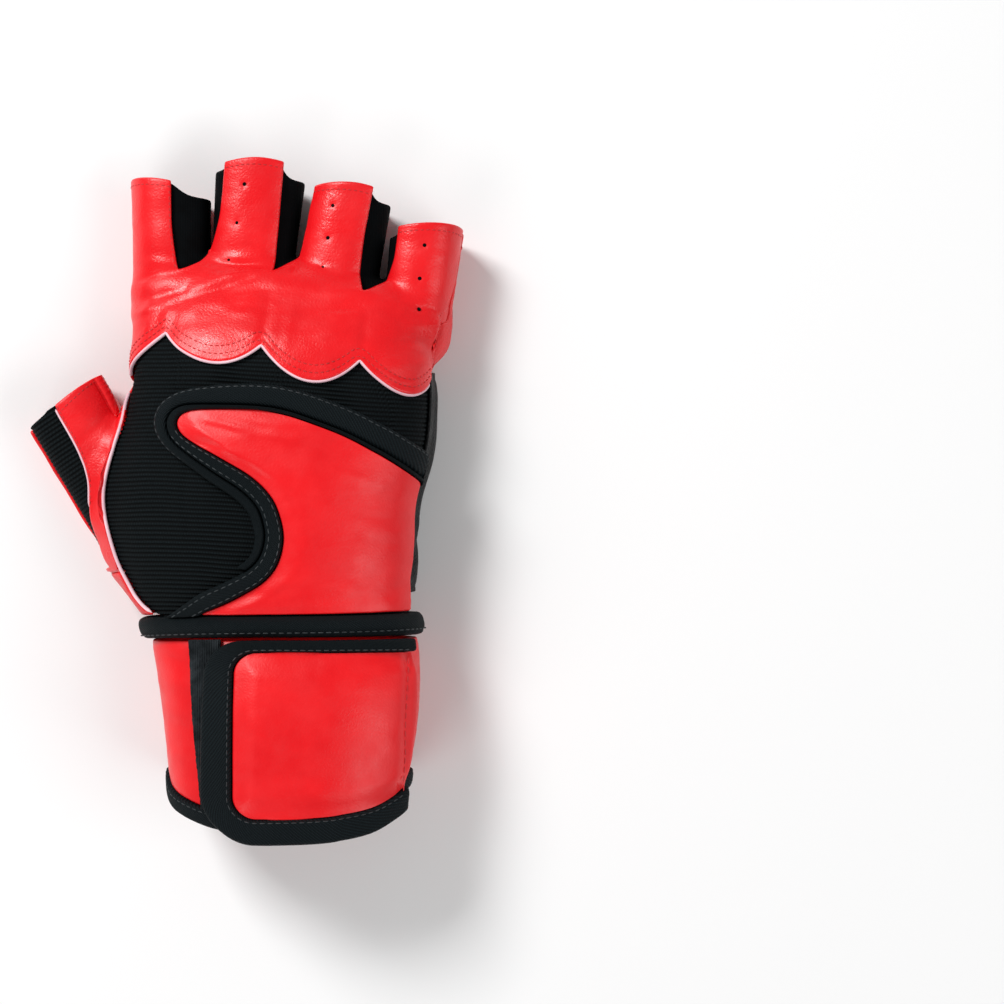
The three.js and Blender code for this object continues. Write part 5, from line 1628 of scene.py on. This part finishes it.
def palm_stitches():
    """Round the fingers' and thumb's rims, and in sagging arcs below the fingers."""
    sites = [palm_rim(k, 3.5) for k in range(4)] + [thumb_ring(3, (KNIT_WAY[1] + 0.01, 0.97))]
    for k, sag in enumerate(PALM_ARC_SAGS):
        u = np.linspace(0, 1, 70)
        x = mix(web(k, "palm_x") if k else PALM_ARC_START[0], web(k + 1, "palm_x"), u) * PALM_WIDTH
        y = mix(web(k, "palm") if k else PALM_ARC_START[1], web(k + 1, "palm"), u) * HAND_LENGTH
        y = y - 2 - sag * 4 * u * (1 - u)
        sites.append(on_hand(y, girth_at(y, x, True)))
    lines = [
        (s, SKIN[1] + leather_relief(s[0], 0.8, 3.0) + folds(s[0], PALM_FOLDS)) for s in sites
    ]
    return stitches("palm_stitches", "red_leather", RED_THREAD, lines, *PALM_STITCH)


def tape_stitches():
    """Along both of the flap's tapes, the strap's, the hem's and the roll's."""
    way = np.linspace(0.0, 1, 400)
    wide, narrow = way[way > 0.5], way[way < 0.52]
    middle = mix(band_edge(wide, "inner"), band_edge(wide, "outer"), 0.86)
    lines = []
    for share in (0.2, 0.8):
        lines.append((flap_edge_site(narrow, band_edge(narrow, "inner") * share), FLAP[1] + 0.68))
    lines.append((flap_edge_site(wide, middle + 0.6), FLAP[1] + 0.42))
    w = np.linspace(0.01, 0.99, 300)
    m = np.full(len(w), STRAP_TAPE_WIDTH * 0.14)
    lines.append((strap_edge_site(w, m, m * STRAP_TOP_TAPE * 1.4), STRAP[1] + 0.68))
    g = np.linspace(0.35, 0.995, 300)
    lines.append((on_hand(hem_level(g) - 0.22 * HEM_WIDTH, g), CUFF[1] + 0.72))
    g = np.linspace(0.0, 1, 500)
    lines.append((on_hand(np.full(len(g), -2.0), g), SKIN[1] + ROLL_RISE - 0.32))
    return stitches("tape_stitches", "black_tape", BLACK_THREAD, lines, *TAPE_STITCH)


def strap_stitches():
    """Down the strap's seam: the girth at each level is the one that lies at the seam's x."""
    levels, girths = 60, 40
    y = np.linspace(-0.79 * CUFF_LENGTH, -STRAP_TOP * CUFF_LENGTH - 1, levels)
    tries = np.linspace(0.045, 0.2, girths)
    x = on_hand(np.repeat(y, girths), np.tile(tries, levels))[0][:, 0].reshape(levels, girths)
    s = on_hand(y, np.array([np.interp(-strap_seam_x(at), -row, tries) for at, row in zip(y, x)]))
    lift = STRAP[1] + 0.32 + leather_relief(s[0], 0.45, 51.0) + folds(s[0], STRAP_FOLDS)
    return stitches("strap_stitches", "red_leather", RED_THREAD, [(s, lift)], *STRAP_STITCH)


def patch_stitches():
    """Along the patch's low and high edges, and down its channels."""
    u = np.linspace(0.02, 0.885, 150)
    lines = []
    for shift in (0.035, 0.075, 0.965):
        y, girth = patch_plan(u, np.full(len(u), shift))
        lines.append((on_hand(y, girth), PATCH[1] - 0.1))
    for c in CHANNELS:
        v = np.linspace(0.04, 0.96, 90)
        y, girth = patch_plan(np.clip(c + 0.15 - 0.35 * v, 0.03, 0.88), v)
        lines.append((on_hand(y, girth), PATCH[1] - 0.62))
    return stitches("patch_stitches", "black_leather", BLACK_THREAD, lines, *PATCH_STITCH)


def cord_round(sites, height, width, name, material, depth):
    """A thin rounded strip that follows a line of sites."""
    points, normals = sites
    places = (points + normals * np.broadcast_to(height, len(points))[:, None] + SHIFT) / 1000
    along = np.gradient(places, axis=0)
    side = np.cross(along, normals)
    side /= np.linalg.norm(side, axis=1, keepdims=True)
    count = len(points) - 1
    piece = Piece()

    def place(u, v):
        i = np.rint(u * count).astype(int)
        a = 2 * math.pi * v[:, None]
        end = np.clip(np.minimum(i, count - i) / 2, 0.02, 1)[:, None] ** 0.5
        return places[i] + (side[i] * np.cos(a) * width + normals[i] * np.sin(a) * depth) * end / 2000

    piece.grid(count, 8, place)
    bmesh.ops.holes_fill(piece.bm, edges=[e for e in piece.bm.edges if e.is_boundary], sides=8)
    return piece.finish(name, [material], merge=1e-6)


def raw_edges():
    """The pale cut edges of the red leather along the scallops, the knit's left side and the thumb."""
    middle = (SKIN[0] + SKIN[1]) / 2
    cord_round(scallop_line(-0.15), middle, 0.9, "scallop_raw_edge", RAW, 1.15)
    y = np.linspace(HAND_START + 1, 0.66 * HAND_LENGTH, 160)
    side = on_hand(y, BACK_EDGE.read(y / HAND_LENGTH, "girth") + SEAM_SHARE)
    cord_round(side, middle, 1.0, "side_raw_edge", RAW, 1.15)
    cord_round(
        thumb_knit_edge(KNIT_WAY[0], 0.0015), middle, 0.7, "thumb_raw_edge", RAW, 1.1
    )


# No holes are cut: a flat disc of near-black knit sits in each vent's dent as painted shade for the dark
# hollow of the punched hole.
def painted_vent_hole_shade():
    bm = bmesh.new()
    for point, normal in VENT_PLACES:
        place = Vector(to_frame(point[None], normal[None], SKIN[1] - 0.3)[0])
        turn = Vector((0, 0, 1)).rotation_difference(Vector(normal)).to_matrix().to_4x4()
        size = Matrix.Diagonal((1, 1, 0.35, 1))
        bmesh.ops.create_uvsphere(
            bm, u_segments=12, v_segments=6, radius=VENT_RADIUS / 1000,
            matrix=Matrix.Translation(place) @ turn @ size,
        )
    for face in bm.faces:
        face.smooth = True
    return put(bm, "painted_vent_hole_shade", [GUSSET_BLACK])


knuckle_leather()
palm_leather()
little_side()
thumb_root_allowance()
thumb_leather()
thumb_seam()
thumb_knit()
back_knit()
for strip, name in enumerate(("index_gusset", "middle_gusset", "ring_gusset")):
    gusset(strip, name)
palm_patch()
back_flap()
flap_inner_tape()
flap_outer_tape()
wrist_binding()
cuff()
hem_binding()
loop_tape()
strap()
strap_binding()
knuckle_stitches()
palm_stitches()
tape_stitches()
strap_stitches()
patch_stitches()
raw_edges()
painted_vent_hole_shade()


# Floor, light and camera.
def floor():
    bm = bmesh.new()
    bmesh.ops.create_grid(bm, x_segments=2, y_segments=2, size=4)
    mesh = bpy.data.meshes.new("floor")
    bm.to_mesh(mesh)
    bm.free()
    obj = bpy.data.objects.new("floor", mesh)
    obj.location.z = -0.0003
    bpy.context.collection.objects.link(obj)
    material = bpy.data.materials.new("pale_floor")
    material.use_nodes = True
    shader = material.node_tree.nodes["Principled BSDF"]
    shader.inputs["Base Color"].default_value = (0.86, 0.86, 0.86, 1)
    shader.inputs["Roughness"].default_value = 0.9
    shader.inputs["Specular IOR Level"].default_value = 0.1
    mesh.materials.append(material)


# Each light's name, place and size in metres, and power in watts. All of them face the glove's middle.
LIGHTS = [
    ("key_light", (-0.65, 0.75, 0.95), 0.45, 17),
    ("fill_light", (1.0, -0.4, 0.9), 0.9, 8),
    ("low_light", (-0.7, -0.9, 0.8), 0.8, 5),
]
WORLD_LIGHT = 0.24
LENS = 105.2
CAMERA_PLACE = np.array([63.6, 36.6, 900])  # in the glove's own millimetres


def light(name, place, size, power):
    lamp = bpy.data.lights.new(name, "AREA")
    lamp.shape, lamp.size, lamp.energy = "SQUARE", size, power
    obj = bpy.data.objects.new(name, lamp)
    obj.location = place
    obj.rotation_euler = (-Vector(place)).to_track_quat("-Z", "Y").to_euler()
    bpy.context.collection.objects.link(obj)


floor()
for name, place, size, power in LIGHTS:
    light(name, place, size, power)
world = bpy.context.scene.world or bpy.data.worlds.new("world")
bpy.context.scene.world = world
world.use_nodes = True
world.node_tree.nodes["Background"].inputs["Color"].default_value = (1, 1, 1, 1)
world.node_tree.nodes["Background"].inputs["Strength"].default_value = WORLD_LIGHT
bpy.context.scene.view_settings.view_transform = "Standard"

lens = bpy.data.cameras.new("camera")
lens.lens, lens.sensor_width, lens.sensor_fit = LENS, 36, "HORIZONTAL"
lens.clip_start, lens.clip_end = 0.05, 10
camera = bpy.data.objects.new("camera", lens)
camera.location = ((CAMERA_PLACE + SHIFT) / 1000).tolist()
bpy.context.collection.objects.link(camera)
bpy.context.scene.camera = camera
